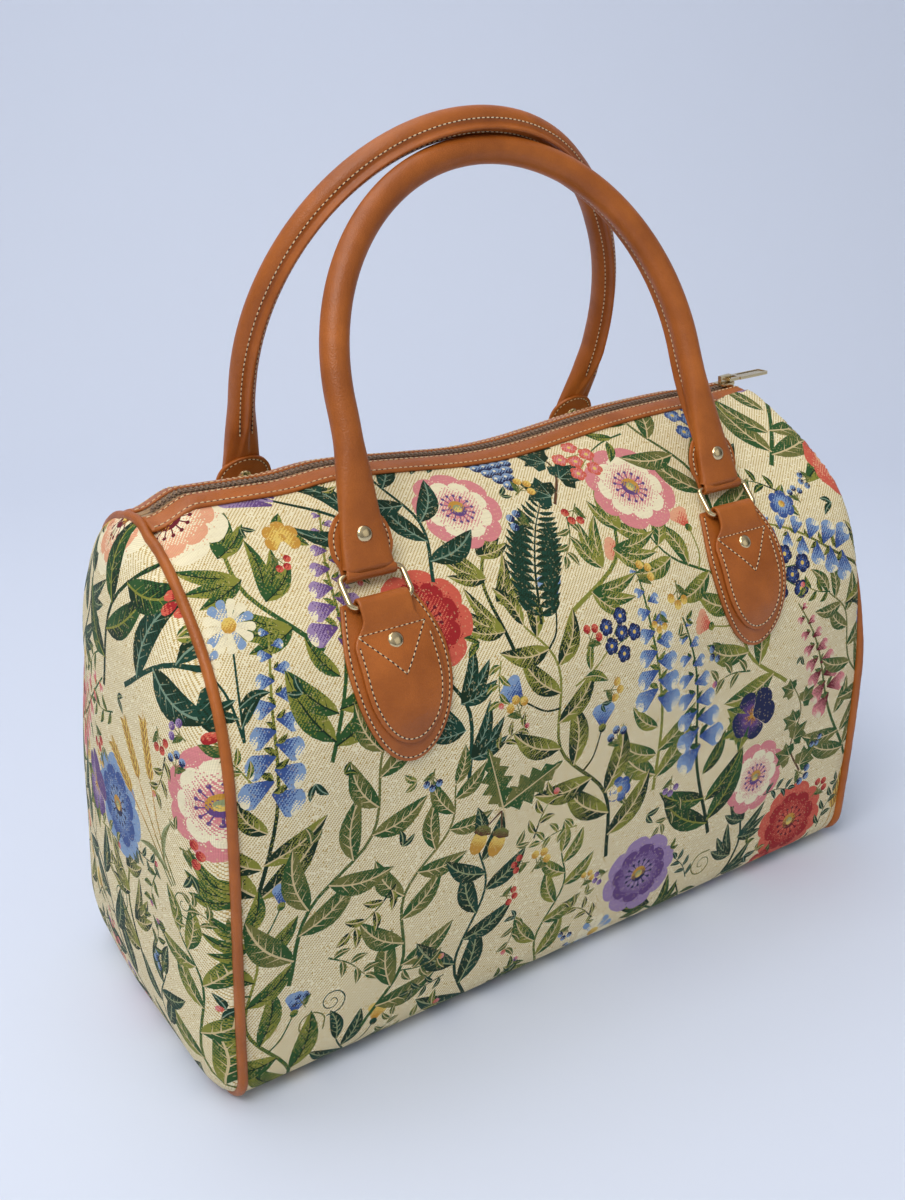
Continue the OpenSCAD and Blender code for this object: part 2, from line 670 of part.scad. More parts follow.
// Ear that is folded back on the inner side
module handle_ear() {
    top = ear_h - ear_w / 2;
    translate([0, end_half_t, 0]) rotate([90, 0, 0]) linear_extrude(leather_t) union() {
        polygon([[-loop_w / 2, 4], [loop_w / 2, 4], [ear_w / 2, 11], [ear_w / 2, top], [-ear_w / 2, top], [-ear_w / 2, 11]]);
        translate([0, top]) circle(ear_w / 2);
    }
}

module handle_leather(rise, span) {
    color(leather_tan) difference() {
        union() {
            handle_roll(rise, span);
            for (s = [-1, 1]) translate([s * tab_x, 0, 0]) {
                handle_loop();
                handle_ear();
            }
        }
        for (s = [-1, 1]) translate([s * tab_x, 0, 0]) {
            translate([-loop_w, 0, 0]) rotate([0, 90, 0]) cylinder(r = bore_r, h = 2 * loop_w);
            translate([0, 20, handle_rivet_h]) rotate([90, 0, 0])
                cylinder(d = rivet_post_d + 2 * rivet_clear, h = 40);
        }
    }
}

module handle_rivet_pair() {
    color(metal_gold) for (s = [-1, 1]) translate([s * tab_x, 0, handle_rivet_h]) rotate([90, 0, 0]) union() {
        translate([0, 0, end_half_t]) rivet_cap();
        mirror([0, 0, 1]) translate([0, 0, end_half_t]) rivet_cap();
        translate([0, 0, -end_half_t - 0.3]) cylinder(d = rivet_post_d, h = 2 * end_half_t + 0.6);
    }
}

module on_front_bars() { translate([0, -upper_y, upper_z]) rotate([-front_lean, 0, 0]) children(); }
module on_rear_bars() { other_side() translate([0, -upper_y, upper_z]) rotate([-rear_lean, 0, 0]) children(); }

module front_handle() { on_front_bars() handle_leather(front_rise, front_span); }
module rear_handle() { on_rear_bars() handle_leather(rear_rise, rear_span); }
module front_handle_rivets() { on_front_bars() handle_rivet_pair(); }
module rear_handle_rivets() { on_rear_bars() handle_rivet_pair(); }

main_panel();
left_end_panel();
right_end_panel();
left_piping();
right_piping();
lining_wrap();
left_lining_end();
right_lining_end();
base_board();
front_zip_facing();
rear_zip_facing();
front_zip_tape();
rear_zip_tape();
front_zip_coil();
rear_zip_coil();
zip_slider();
zip_pull();
front_left_tab_base();
front_right_tab_base();
rear_left_tab_base();
rear_right_tab_base();
front_left_tab_strap();
front_right_tab_strap();
rear_left_tab_strap();
rear_right_tab_strap();
tab_rivets();
front_left_ring();
front_right_ring();
rear_left_ring();
rear_right_ring();
front_handle();
rear_handle();
front_handle_rivets();
rear_handle_rivets();
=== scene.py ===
"""Looks of the carpet bag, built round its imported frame. Working units are millimetres until a mesh is made."""

import json
import math
import random

import bmesh
import bpy
import numpy as np
from mathutils import Matrix, Vector
from mathutils.geometry import delaunay_2d_cdt

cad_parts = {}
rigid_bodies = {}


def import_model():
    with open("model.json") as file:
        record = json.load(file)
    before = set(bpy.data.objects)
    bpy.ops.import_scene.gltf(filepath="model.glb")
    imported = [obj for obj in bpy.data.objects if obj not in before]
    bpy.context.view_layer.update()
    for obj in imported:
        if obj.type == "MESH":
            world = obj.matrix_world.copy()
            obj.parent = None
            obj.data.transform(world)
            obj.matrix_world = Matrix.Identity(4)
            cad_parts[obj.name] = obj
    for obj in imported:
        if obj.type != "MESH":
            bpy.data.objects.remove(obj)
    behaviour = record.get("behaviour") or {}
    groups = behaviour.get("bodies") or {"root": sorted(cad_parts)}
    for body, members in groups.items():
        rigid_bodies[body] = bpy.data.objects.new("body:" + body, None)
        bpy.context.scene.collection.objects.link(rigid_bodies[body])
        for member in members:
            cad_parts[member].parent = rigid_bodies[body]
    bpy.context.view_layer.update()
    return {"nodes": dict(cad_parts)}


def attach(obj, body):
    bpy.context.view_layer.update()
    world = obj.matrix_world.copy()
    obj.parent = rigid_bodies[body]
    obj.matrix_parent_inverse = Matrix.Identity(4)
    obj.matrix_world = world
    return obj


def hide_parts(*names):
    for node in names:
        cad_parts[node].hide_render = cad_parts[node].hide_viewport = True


for leftover in list(bpy.data.objects):
    bpy.data.objects.remove(leftover)

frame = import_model()

MM = 0.001
TILE = 54.0
# Width of one stitch of the weave, in metres
STITCH_PITCH = 0.00072

# Sizes of the part's source

HALF_LENGTH = 215.0
BASE_HALF = 98.5
BELLY_HALF = 106.0
BELLY_HEIGHT = 173.0
BASE_EDGE_R = 23.0
SHOULDER_R = 100.0
SHOULDER_Y = BELLY_HALF - SHOULDER_R
SHOULDER_TURN = math.radians(50.0)
END_LEAN = 13.0
END_BULGE = 22.0
PIPING_R = 2.6
PIPING_PROUD = 1.6
ZIP_MID = 286.0
ZIP_SAG = 5.0
ZIP_HALF_RUN = 190.0
ZIP_RADIUS = (ZIP_HALF_RUN ** 2 + ZIP_SAG ** 2) / (2 * ZIP_SAG)
ZIP_AXIS_Z = ZIP_MID + ZIP_RADIUS
FACING_HALF_LENGTH = 199.0
FACING_IN = 5.6
FACING_OUT = 18.6
FACING_T = 1.8
FACING_FALL = 0.25
TAPE_FLAT = 5.0
END_DROP = 8.5
LEATHER_T = 1.8
TAB_X = 115.5
TAB_ANGLE = math.radians(22.0)
TAB_BASE_IN = SHOULDER_R + 0.3
STRAP_IN = TAB_BASE_IN + LEATHER_T
WIRE_R = 1.5
BORE_R = WIRE_R + 0.08
LOOP_R = BORE_R + LEATHER_T
LOOP_W = 28.0
RING_ANGLE = math.radians(43.0)
RING_W = 34.3
RING_H = 16.4
RING_CORNER = 3.2
BAR_RADIUS = STRAP_IN + LOOP_R + 0.2
BAR_Y = SHOULDER_Y + BAR_RADIUS * math.cos(RING_ANGLE)
BAR_Z = BELLY_HEIGHT + BAR_RADIUS * math.sin(RING_ANGLE)
UPPER_Y = BAR_Y - RING_H * math.sin(RING_ANGLE)
UPPER_Z = BAR_Z + RING_H * math.cos(RING_ANGLE)
TAB_RIVET_ANGLE = math.radians(32.5)
RIVET_D = 8.2
RIVET_H = 1.6
HANDLE_LEG = 80.0
HANDLE_LIP = 3.4
HANDLE_RIVET_H = 18.0
END_HALF_T = 2.4
END_FLAT_H = 25.0
END_ROUND_H = 50.0
EAR_W = 34.0
EAR_H = 32.0

# Softer forms, for the looks alone

# Radius of the rolled handle, a little fuller than its solid, and the height where its foot has become round
HANDLE_R = 7.3
SOFT_ROUND_H = 66.0
# Steps along each curve of the body's section
SECTION_STEPS = 12
# Draw-in of the shoulders at each end, at the front and at the rear, and width over which the cloth rolls in
PINCH = {-1: (2.0, 0.0), 1: (8.0, 5.0)}
ROLL_IN = 8.0
# Height where the draw-in starts, and over which it grows
PINCH_FROM = 130
PINCH_RISE = 70
# Pull of the rear upright seam towards the middle at each end, and its shares by height
REAR_PULL = {-1: 11.0, 1: 4.0}
PULL_HEIGHTS = (0.0, 45.0, 125.0, 190.0, 240.0, 270.0)
PULL_SHARES = (0.45, 0.5, 1.0, 1.45, 1.1, 0.6)
PULL_DEPTH = 100.0
# Soft zip line: its level, and the depth and width of its valley
SOFT_ZIP = 291.7
ZIP_VALLEY = 9.0
ZIP_VALLEY_WIDTH = 70.0
# Depths of the two faces of the lining under the cloth
LINING_DEPTHS = (2.2, 2.8)
# Distance of a stitch row from the edge of a tab or an ear
STITCH_INSET = 2.2
# Turn that takes the front of the bag to its rear
ABOUT = np.array([-1, -1, 1])
RIGHT = np.array([1.0, 0, 0])
HANDLES = {
    "front": {"rise": 196.0, "span": 111.0, "lean": 20.2, "twist": 55.0, "sway": 0.0},
    "rear": {"rise": 211.0, "span": 120.0, "lean": 20.2, "twist": 0.0, "sway": 3.0},
}


def srgb(r, g, b):
    """Linear colour of an sRGB triple from 0 to 255."""
    def lin(c):
        c /= 255.0
        return c / 12.92 if c <= 0.04045 else ((c + 0.055) / 1.055) ** 2.4
    return np.array([lin(r), lin(g), lin(b)])


def ease(t):
    t = np.clip(t, 0.0, 1.0)
    return t * t * (3 - 2 * t)


def ramp(x, start, width):
    """Soft step from 0 to 1 that starts at a place and takes a width."""
    return ease((x - start) / width)


def unit(v):
    return v / np.linalg.norm(v, axis=-1, keepdims=True)


def run_along(points):
    """Length of a polyline up to each of its points."""
    return np.concatenate([[0.0], np.cumsum(np.linalg.norm(np.diff(points, axis=0), axis=1))])


def circle(steps):
    return np.linspace(0, 2 * math.pi, steps, endpoint=False)


# Camera, fitted to the photo: azimuth, elevation and roll in degrees, place in millimetres, focal length

CAMERA_ANGLES = (-33.42, 21.76, -1.31)
CAMERA_PLACE = (-406.25, -584.01, 475.68)
FOCAL_PIXELS = 1309.9
PHOTO_HEIGHT = 1200.0
SENSOR = 36.0


def make_camera():
    azimuth, elevation, roll = (math.radians(a) for a in CAMERA_ANGLES)
    level = math.cos(elevation)
    back = Vector((math.sin(azimuth) * level, -math.cos(azimuth) * level, math.sin(elevation)))
    right = Vector((math.cos(azimuth), math.sin(azimuth), 0.0))
    up = back.cross(right)
    right2 = math.cos(roll) * right + math.sin(roll) * up
    up2 = -math.sin(roll) * right + math.cos(roll) * up
    data = bpy.data.cameras.new("camera")
    data.sensor_width = SENSOR
    data.lens = FOCAL_PIXELS / PHOTO_HEIGHT * SENSOR
    data.clip_end = 20.0
    cam = bpy.data.objects.new("camera", data)
    bpy.context.scene.collection.objects.link(cam)
    place = Vector(CAMERA_PLACE) * MM
    turn = Matrix((right2, up2, back)).transposed().to_4x4()
    cam.matrix_world = Matrix.Translation(place) @ turn
    bpy.context.scene.camera = cam


make_camera()


# Mesh helpers

def make_object(name, points, faces, material):
    """New object from points in millimetres."""
    mesh = bpy.data.meshes.new(name)
    corners = [tuple(int(i) for i in f) for f in faces]
    mesh.from_pydata([tuple(p) for p in np.asarray(points) * MM], [], corners)
    mesh.update()
    mesh.shade_smooth()
    mesh.materials.append(material)
    obj = bpy.data.objects.new(name, mesh)
    bpy.context.scene.collection.objects.link(obj)
    return obj


def ring_faces(rows, cols, closed_rows=False, closed_cols=True):
    """Four-sided faces between rows of points."""
    faces = []
    for i in range(rows if closed_rows else rows - 1):
        i2 = (i + 1) % rows
        for j in range(cols if closed_cols else cols - 1):
            j2 = (j + 1) % cols
            faces.append((i * cols + j, i2 * cols + j, i2 * cols + j2, i * cols + j2))
    return faces


def end_caps(rows, cols):
    """Faces over the first and the last ring."""
    last = (rows - 1) * cols
    return [tuple(range(cols)), tuple(last + j for j in range(cols - 1, -1, -1))]


def loft(name, rings, material, closed_rows=False):
    """Skin over rings of points, each ring closed on itself."""
    rings = np.asarray(rings)
    rows, cols = rings.shape[:2]
    faces = ring_faces(rows, cols, closed_rows)
    if not closed_rows:
        faces += end_caps(rows, cols)
    obj = make_object(name, rings.reshape(-1, 3), faces, material)
    fix_normals(obj)
    return obj


def joined(name, chunks, material):
    """One object from several lists of points and faces."""
    obj = make_object(name, *join_points(chunks), material)
    fix_normals(obj)
    return obj


def fix_normals(obj):
    work = bmesh.new()
    work.from_mesh(obj.data)
    bmesh.ops.recalc_face_normals(work, faces=work.faces)
    work.to_mesh(obj.data)
    work.free()
    obj.data.update()


def settle(obj, body, slot, *nodes):
    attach(obj, body)
    if nodes:
        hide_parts(*nodes)


def join_points(chunks):
    """One list of points and faces from several."""
    points, faces = [], []
    for p, f in chunks:
        base = sum(len(q) for q in points)
        points.append(np.asarray(p))
        faces += [tuple(base + i for i in face) for face in f]
    return np.concatenate(points), faces


# Materials

def new_material(name):
    mat = bpy.data.materials.new(name)
    mat.use_nodes = True
    return mat, mat.node_tree, mat.node_tree.nodes["Principled BSDF"]


def add_node(tree, kind, **inputs):
    node = tree.nodes.new(kind)
    for key, value in inputs.items():
        if key in node.inputs:
            node.inputs[key].default_value = value
        else:
            setattr(node, key, value)
    return node


def texture(tree, kind, **inputs):
    """Texture node that reads the object's own coordinates."""
    node = add_node(tree, kind, **inputs)
    coords = add_node(tree, "ShaderNodeTexCoord")
    tree.links.new(coords.outputs["Object"], node.inputs["Vector"])
    return node


def math_node(tree, operation, a, b=None):
    node = tree.nodes.new("ShaderNodeMath")
    node.operation = operation
    for k, v in enumerate((a, b)):
        if v is None:
            continue
        if isinstance(v, (int, float)):
            node.inputs[k].default_value = v
        else:
            tree.links.new(v, node.inputs[k])
    return node.outputs[0]


def mix_colour(tree, factor, a, b, blend="MIX"):
    node = tree.nodes.new("ShaderNodeMix")
    node.data_type = "RGBA"
    node.blend_type = blend
    for socket, value in ((node.inputs[0], factor), (node.inputs[6], a), (node.inputs[7], b)):
        if isinstance(value, bpy.types.NodeSocket):
            tree.links.new(value, socket)
        elif isinstance(value, (int, float)):
            socket.default_value = value
        else:
            socket.default_value = (*value, 1.0)
    return node.outputs[2]


def add_bump(tree, bsdf, height, strength, distance):
    bump = add_node(tree, "ShaderNodeBump", Strength=strength, Distance=distance)
    tree.links.new(height, bump.inputs["Height"])
    tree.links.new(bump.outputs["Normal"], bsdf.inputs["Normal"])


def leather_material(name, base, dark, roughness):
    """Fine-grained leather cloth with soft creases."""
    mat, tree, bsdf = new_material(name)
    blotch = texture(tree, "ShaderNodeTexNoise", Scale=38.0, Detail=4.0, Roughness=0.6)
    pores = texture(tree, "ShaderNodeTexVoronoi", Scale=1250.0, feature="F1")
    crease = texture(tree, "ShaderNodeTexNoise", Scale=190.0, Detail=5.0, Roughness=0.68, Distortion=0.6)
    tint = add_node(tree, "ShaderNodeMapRange")
    tint.inputs["From Min"].default_value = 0.35
    tint.inputs["From Max"].default_value = 0.68
    tree.links.new(blotch.outputs["Fac"], tint.inputs["Value"])
    colour = mix_colour(tree, tint.outputs["Result"], dark, base)
    grain = math_node(tree, "MULTIPLY", pores.outputs["Distance"], 0.16)
    colour = mix_colour(tree, grain, colour, dark * 0.55)
    tree.links.new(colour, bsdf.inputs["Base Color"])
    rough = math_node(tree, "MULTIPLY_ADD", crease.outputs["Fac"], 0.18)
    rough.node.inputs[2].default_value = roughness - 0.09
    tree.links.new(rough, bsdf.inputs["Roughness"])
    height = math_node(tree, "MULTIPLY_ADD", crease.outputs["Fac"], 1.6)
    tree.links.new(pores.outputs["Distance"], height.node.inputs[2])
    add_bump(tree, bsdf, height, 0.34, 0.00035)
    bsdf.inputs["Specular IOR Level"].default_value = 0.42
    return mat


def metal_material(name, base, roughness):
    mat, tree, bsdf = new_material(name)
    haze = texture(tree, "ShaderNodeTexNoise", Scale=260.0, Detail=4.0)
    rough = math_node(tree, "MULTIPLY_ADD", haze.outputs["Fac"], 0.05)
    rough.node.inputs[2].default_value = roughness
    tree.links.new(rough, bsdf.inputs["Roughness"])
    bsdf.inputs["Metallic"].default_value = 1.0
    colour = mix_colour(tree, haze.outputs["Fac"], base, base * 0.86)
    tree.links.new(colour, bsdf.inputs["Base Color"])
    return mat


def thread_material(name, base):
    mat, tree, bsdf = new_material(name)
    ply = texture(tree, "ShaderNodeTexNoise", Scale=2400.0, Detail=2.0)
    colour = mix_colour(tree, ply.outputs["Fac"], base, base * 0.62)
    tree.links.new(colour, bsdf.inputs["Base Color"])
    bsdf.inputs["Roughness"].default_value = 0.75
    bsdf.inputs["Sheen Weight"].default_value = 0.25
    add_bump(tree, bsdf, ply.outputs["Fac"], 0.4, 0.0002)
    return mat


def fabric_material(name, base, pitch, groove_shade=0.3):
    """Plain ribbed cloth for tapes and linings, with painted shade darkening the grooves between its ribs."""
    mat, tree, bsdf = new_material(name)
    wave = texture(tree, "ShaderNodeTexWave", Scale=0.5 / pitch, Distortion=1.2, bands_direction="X")
    wave.inputs["Detail"].default_value = 2.0
    # Where the bump is low the colour darkens: painted shade in the grooves between ribs
    colour = mix_colour(tree, wave.outputs["Fac"], base * (1 - groove_shade), base)
    tree.links.new(colour, bsdf.inputs["Base Color"])
    bsdf.inputs["Roughness"].default_value = 0.85
    bsdf.inputs["Sheen Weight"].default_value = 0.2
    add_bump(tree, bsdf, wave.outputs["Fac"], 0.5, 0.0003)
    return mat


# Weave: stitches in one repeat of the twill, what chance and twill add to a stitch's choice of ink, gain and
# shift of the blend, how rare and how strong stray threads are, the painted shade in the hollows at each
# stitch's edge, and the random darkening of rows
TWILL_REPEAT = 3.0
CHANCE_SHARE = 0.36
TWILL_SHARE = 0.96
BLEND_GAIN = 1.7
BLEND_SHIFT = 0.35
STRAY_ABOVE = 0.94
STRAY_SHARE = 0.3
HOLLOW_PAINTED_SHADE = 0.78
ROW_SHADE = 0.1


def tapestry_material(name):
    """Woven cloth. Each stitch shows one of its field's two inks, by the blend, the twill and chance."""
    mat, tree, bsdf = new_material(name)
    field = add_node(tree, "ShaderNodeAttribute", attribute_name="Field")
    fade = add_node(tree, "ShaderNodeAttribute", attribute_name="Fade")
    uv = add_node(tree, "ShaderNodeUVMap", uv_map="Cut").outputs["UV"]
    split = add_node(tree, "ShaderNodeSeparateXYZ")
    tree.links.new(uv, split.inputs[0])
    across = math_node(tree, "DIVIDE", split.outputs["X"], STITCH_PITCH)
    along = math_node(tree, "DIVIDE", split.outputs["Y"], STITCH_PITCH)
    cell_a = math_node(tree, "FLOOR", across)
    cell_b = math_node(tree, "FLOOR", along)
    cell = add_node(tree, "ShaderNodeCombineXYZ")
    tree.links.new(cell_a, cell.inputs[0])
    tree.links.new(cell_b, cell.inputs[1])
    chance = add_node(tree, "ShaderNodeTexWhiteNoise", noise_dimensions="2D")
    tree.links.new(cell.outputs[0], chance.inputs["Vector"])
    row = add_node(tree, "ShaderNodeTexWhiteNoise", noise_dimensions="1D")
    tree.links.new(cell_b, row.inputs["W"])
    # The twill climbs one warp per weft and comes back after three
    climb = math_node(tree, "DIVIDE", math_node(tree, "ADD", cell_a, cell_b), TWILL_REPEAT)
    twill = math_node(tree, "FRACT", climb)
    pick = math_node(tree, "MULTIPLY", chance.outputs["Value"], CHANCE_SHARE)
    pick = math_node(tree, "ADD", pick, math_node(tree, "MULTIPLY", twill, TWILL_SHARE))
    blend = math_node(tree, "MULTIPLY", field.outputs["Alpha"], BLEND_GAIN)
    blend = math_node(tree, "SUBTRACT", blend, BLEND_SHIFT)
    second = math_node(tree, "LESS_THAN", pick, blend)
    colour = mix_colour(tree, second, field.outputs["Color"], fade.outputs["Color"])
    stray = math_node(tree, "GREATER_THAN", chance.outputs["Value"], STRAY_ABOVE)
    stray = math_node(tree, "MULTIPLY", stray, STRAY_SHARE)
    colour = mix_colour(tree, stray, colour, srgb(226, 206, 150))
    # Each stitch is a small pillow; painted shade darkens its edges, where the hollows between stitches lie
    hollow = None
    for run in (across, along):
        part = math_node(tree, "SUBTRACT", math_node(tree, "FRACT", run), 0.5)
        part = math_node(tree, "MULTIPLY", part, part)
        hollow = part if hollow is None else math_node(tree, "ADD", hollow, part)
    shade = math_node(tree, "MULTIPLY", hollow, HOLLOW_PAINTED_SHADE)
    colour = mix_colour(tree, shade, colour, srgb(112, 92, 60), "MULTIPLY")
    row_shade = math_node(tree, "MULTIPLY", row.outputs["Value"], ROW_SHADE)
    colour = mix_colour(tree, row_shade, colour, srgb(150, 126, 84), "MULTIPLY")
    tree.links.new(colour, bsdf.inputs["Base Color"])
    bsdf.inputs["Roughness"].default_value = 0.82
    bsdf.inputs["Sheen Weight"].default_value = 0.05
    bsdf.inputs["Sheen Roughness"].default_value = 0.5
    bsdf.inputs["Specular IOR Level"].default_value = 0.15
    relief = math_node(tree, "SUBTRACT", math_node(tree, "MULTIPLY", twill, 0.5), hollow)
    add_bump(tree, bsdf, relief, 0.4, 0.00035)
    return mat


TAN = srgb(178, 98, 32)
TAN_DARK = srgb(152, 80, 22)
LEATHER = leather_material("tan_leather", TAN, TAN_DARK, 0.44)
GOLD = metal_material("pale_gold", srgb(226, 204, 158), 0.18)
THREAD = thread_material("cream_thread", srgb(236, 214, 168))
DARK_THREAD = thread_material("zip_coil_plastic", srgb(128, 98, 70))
# Near-black capsules in the needle holes between stitches: painted shade
NEEDLE_HOLE_SHADE = thread_material("needle_holes", srgb(34, 18, 10))
TAPE = fabric_material("zip_tape_cloth", srgb(172, 136, 94), 0.0012)
LINING = fabric_material("lining_cloth", srgb(92, 66, 48), 0.0009)
BOARD = fabric_material("board_face", srgb(150, 128, 98), 0.004, 0.12)
TAPESTRY = tapestry_material("tapestry")


# Curves of the body

def zip_height(x):
    return ZIP_AXIS_Z - np.sqrt(ZIP_RADIUS ** 2 - np.square(x))


END_TOP = float(zip_height(FACING_HALF_LENGTH)) - END_DROP


def zip_drift(x):
    """Height of the soft zip line over its plain run: a valley in the middle, a fall into each end seam."""
    x = np.asarray(x, float)
    soft = SOFT_ZIP - ZIP_VALLEY * np.exp(-np.square(x / ZIP_VALLEY_WIDTH)) - zip_height(x)
    # On the left the line is plain where the pull lies when the zip is open
    soft = soft * (1 - ramp(x, 148.0, 24.0)) * (1 - ramp(-x, 97.0, 38.0))
    left = ramp(-x, 176.0, 24.0)
    right = ramp(x, 191.0, 9.0)
    return soft - END_DROP * np.maximum(left, right)


def zip_crown(x):
    return zip_height(x) + zip_drift(x)


def end_x(z):
    return HALF_LENGTH - END_LEAN * np.square(np.maximum(z, 0) / END_TOP)


def seam_x(side, y, z):
    """Distance of an end seam from the middle of the bag."""
    pull = REAR_PULL[side] * np.interp(z, PULL_HEIGHTS, PULL_SHARES)
    return end_x(z) - pull * ease(np.asarray(y) / PULL_DEPTH)


def facing_level(d):
    return -FACING_FALL * (d - TAPE_FLAT)


def lower_half(n):
    """Half section from the middle of the base up to the top of the shoulder, as distance out and height."""
    flat = BASE_HALF - BASE_EDGE_R
    rows = [(flat * i / n, 0.0) for i in range(n)]
    for i in range(n + 1):
        a = math.pi / 2 * i / n
        rows.append((flat + BASE_EDGE_R * math.sin(a), BASE_EDGE_R - BASE_EDGE_R * math.cos(a)))
    for i in range(1, 2 * n):
        t = i / (2 * n)
        rows.append((BASE_HALF + (BELLY_HALF - BASE_HALF) * math.sin(math.pi / 2 * t),
                     BASE_EDGE_R + (BELLY_HEIGHT - BASE_EDGE_R) * t))
    for i in range(2 * n + 1):
        a = SHOULDER_TURN * i / (2 * n)
        rows.append((SHOULDER_Y + SHOULDER_R * math.cos(a), BELLY_HEIGHT + SHOULDER_R * math.sin(a)))
    return rows


def roof(crown, n):
    """Curve from the top of the shoulder to the zip facing."""
    a = np.array([SHOULDER_Y + SHOULDER_R * math.cos(SHOULDER_TURN),
                  BELLY_HEIGHT + SHOULDER_R * math.sin(SHOULDER_TURN)])
    e = np.array([FACING_OUT, crown + facing_level(FACING_OUT) - 0.15])
    k = (a[0] - e[0]) * 0.62
    m = a + k * np.array([-1.0, 1.0 / math.tan(SHOULDER_TURN)])
    shares = [i / n for i in range(1, n + 1)]
    return [tuple((1 - t) ** 2 * a + 2 * t * (1 - t) * m + t * t * e) for t in shares]


def half_section(crown, n):
    d = FACING_OUT - 4.8
    return np.array(lower_half(n) + roof(crown, 2 * n) + [(d, crown + facing_level(d) - 0.15)])


def pinched(h, depth):
    """Half section drawn in by a depth from the belly up."""
    t = unit(np.gradient(h, axis=0))
    normal = np.stack([t[:, 1], -t[:, 0]], axis=1)
    return h - depth * ramp(h[:, 1], PINCH_FROM, PINCH_RISE)[:, None] * normal


def resample(points, count):
    """Points spaced evenly along a polyline."""
    points = np.asarray(points, float)
    run = run_along(points)
    at = np.linspace(0.0, run[-1], count)
    return np.stack([np.interp(at, run, points[:, k]) for k in range(points.shape[1])], axis=1), run[-1]


class Wrap:
    """Grid of points of the main cloth, sampled by its cut: x across and s down from the front lap."""

    half = 201

    def __init__(self):
        self.half_run = resample(half_section(ZIP_MID, SECTION_STEPS), self.half)[1]
        self.length = 2 * self.half_run
        edge = 1 - 0.06 * np.linspace(0, 1, 17) ** 1.6
        self.u = np.concatenate([-edge, np.linspace(-0.94, 0.94, 141)[1:-1], edge[::-1]])
        rows = []
        for k in self.u:
            side = -1 if k < 0 else 1
            crown = float(zip_crown(k * FACING_HALF_LENGTH))
            h, _ = resample(half_section(crown, SECTION_STEPS), self.half)
            near = max(0.0, 1 - (1 - abs(k)) * HALF_LENGTH / ROLL_IN)
            share = 1 - math.sqrt(1 - near * near)
            front, rear = (pinched(h, share * p) for p in PINCH[side])
            y = np.concatenate([-front[::-1, 0], rear[1:, 0]])
            z = np.concatenate([front[::-1, 1], rear[1:, 1]])
            rows.append(np.stack([k * (seam_x(side, y, z) - 0.4), y, z], axis=1))
        self.points = np.array(rows)
        self.normals = self.find_normals()
        self.points = self.points + self.puff(self.u)[..., None] * self.normals
        self.normals = self.find_normals()

    def find_normals(self):
        du = np.gradient(self.points, axis=0)
        dv = np.gradient(self.points, axis=1)
        return unit(np.cross(dv, du))

    def puff(self, u):
        """How far the filled cloth stands off the plain section. It lies close under the tabs."""
        x, y, z = (self.points[..., k] for k in range(3))
        edge = (1 - np.abs(u))[:, None] * HALF_LENGTH
        body = ramp(z, 6, 60) * ramp(-z, -250, 60)
        swell = 3.4 * (1 - np.square(u))[:, None] * body
        seam = -1.7 * np.exp(-np.square(edge / 7.0)) * ramp(z, 2, 12)
        long_wave = 0.55 * np.sin(x / 31 + 1.3 + y / 47) * np.sin(z / 38 + 0.6)
        waves = long_wave + 0.4 * np.sin(x / 17 - z / 29 + y / 60)
        tab = np.hypot((np.abs(x) - TAB_X) / 40, (z - 215) / 52)
        right_top = np.exp(-np.square((x - 205) / 48)) * np.exp(-np.square((z - 250) / 38))
        shoulder = 8.0 * right_top * (y < 0) * ease(edge / 7)
        ripple = waves * body * ramp(tab, 0.8, 0.6) * ease(edge / 20)
        return shoulder + swell * ramp(tab, 0.75, 0.8) + seam + ripple

    def sample(self, x, s):
        fu = np.interp(np.asarray(x) / HALF_LENGTH, self.u, np.arange(len(self.u)))
        fs = np.clip(np.asarray(s) / self.length, 0, 1) * (2 * self.half - 2)
        i = np.minimum(fu.astype(int), len(self.u) - 2)
        j = np.minimum(fs.astype(int), 2 * self.half - 3)
        a = (fu - i)[:, None]
        b = (fs - j)[:, None]
        def blend(grid):
            return ((1 - a) * (1 - b) * grid[i, j] + a * (1 - b) * grid[i + 1, j]
                    + (1 - a) * b * grid[i, j + 1] + a * b * grid[i + 1, j + 1])
        return blend(self.points), unit(blend(self.normals))


WRAP = Wrap()


def end_loop(side):
    """Seam outline of one end as y and z, round from the front lap under the base."""
    h = np.array(lower_half(SECTION_STEPS) + roof(END_TOP, 2 * SECTION_STEPS))
    front, rear = (pinched(h, p) for p in PINCH[side])
    front = np.stack([-front[::-1, 0], front[::-1, 1]], axis=1)
    top = [(FACING_OUT * 0.5, END_TOP - 0.8), (0.0, END_TOP), (-FACING_OUT * 0.5, END_TOP - 0.8)]
    whole = np.concatenate([front, rear[1:], top, front[:1]])
    return resample(whole, 300)[0][:-1]


def loop_normals(loop):
    t = unit(np.roll(loop, -1, axis=0) - np.roll(loop, 1, axis=0))
    return np.stack([t[:, 1], -t[:, 0]], axis=1)


def seam_path(side):
    """Middle of the piping as y and z, with its outward normals."""
    loop = end_loop(side)
    normals = loop_normals(loop)
    inset = (PIPING_R - PIPING_PROUD) + (PIPING_PROUD + 0.1) * np.square(np.maximum(0, -normals[:, 1]))
    return loop - inset[:, None] * normals, normals


SEAMS = {side: seam_path(side) for side in (-1, 1)}
# Middle of an end panel, as y and z
END_MIDDLE = np.array([0.0, END_TOP * 0.47])


# Woven design: generic garden plants, drawn as flat fields

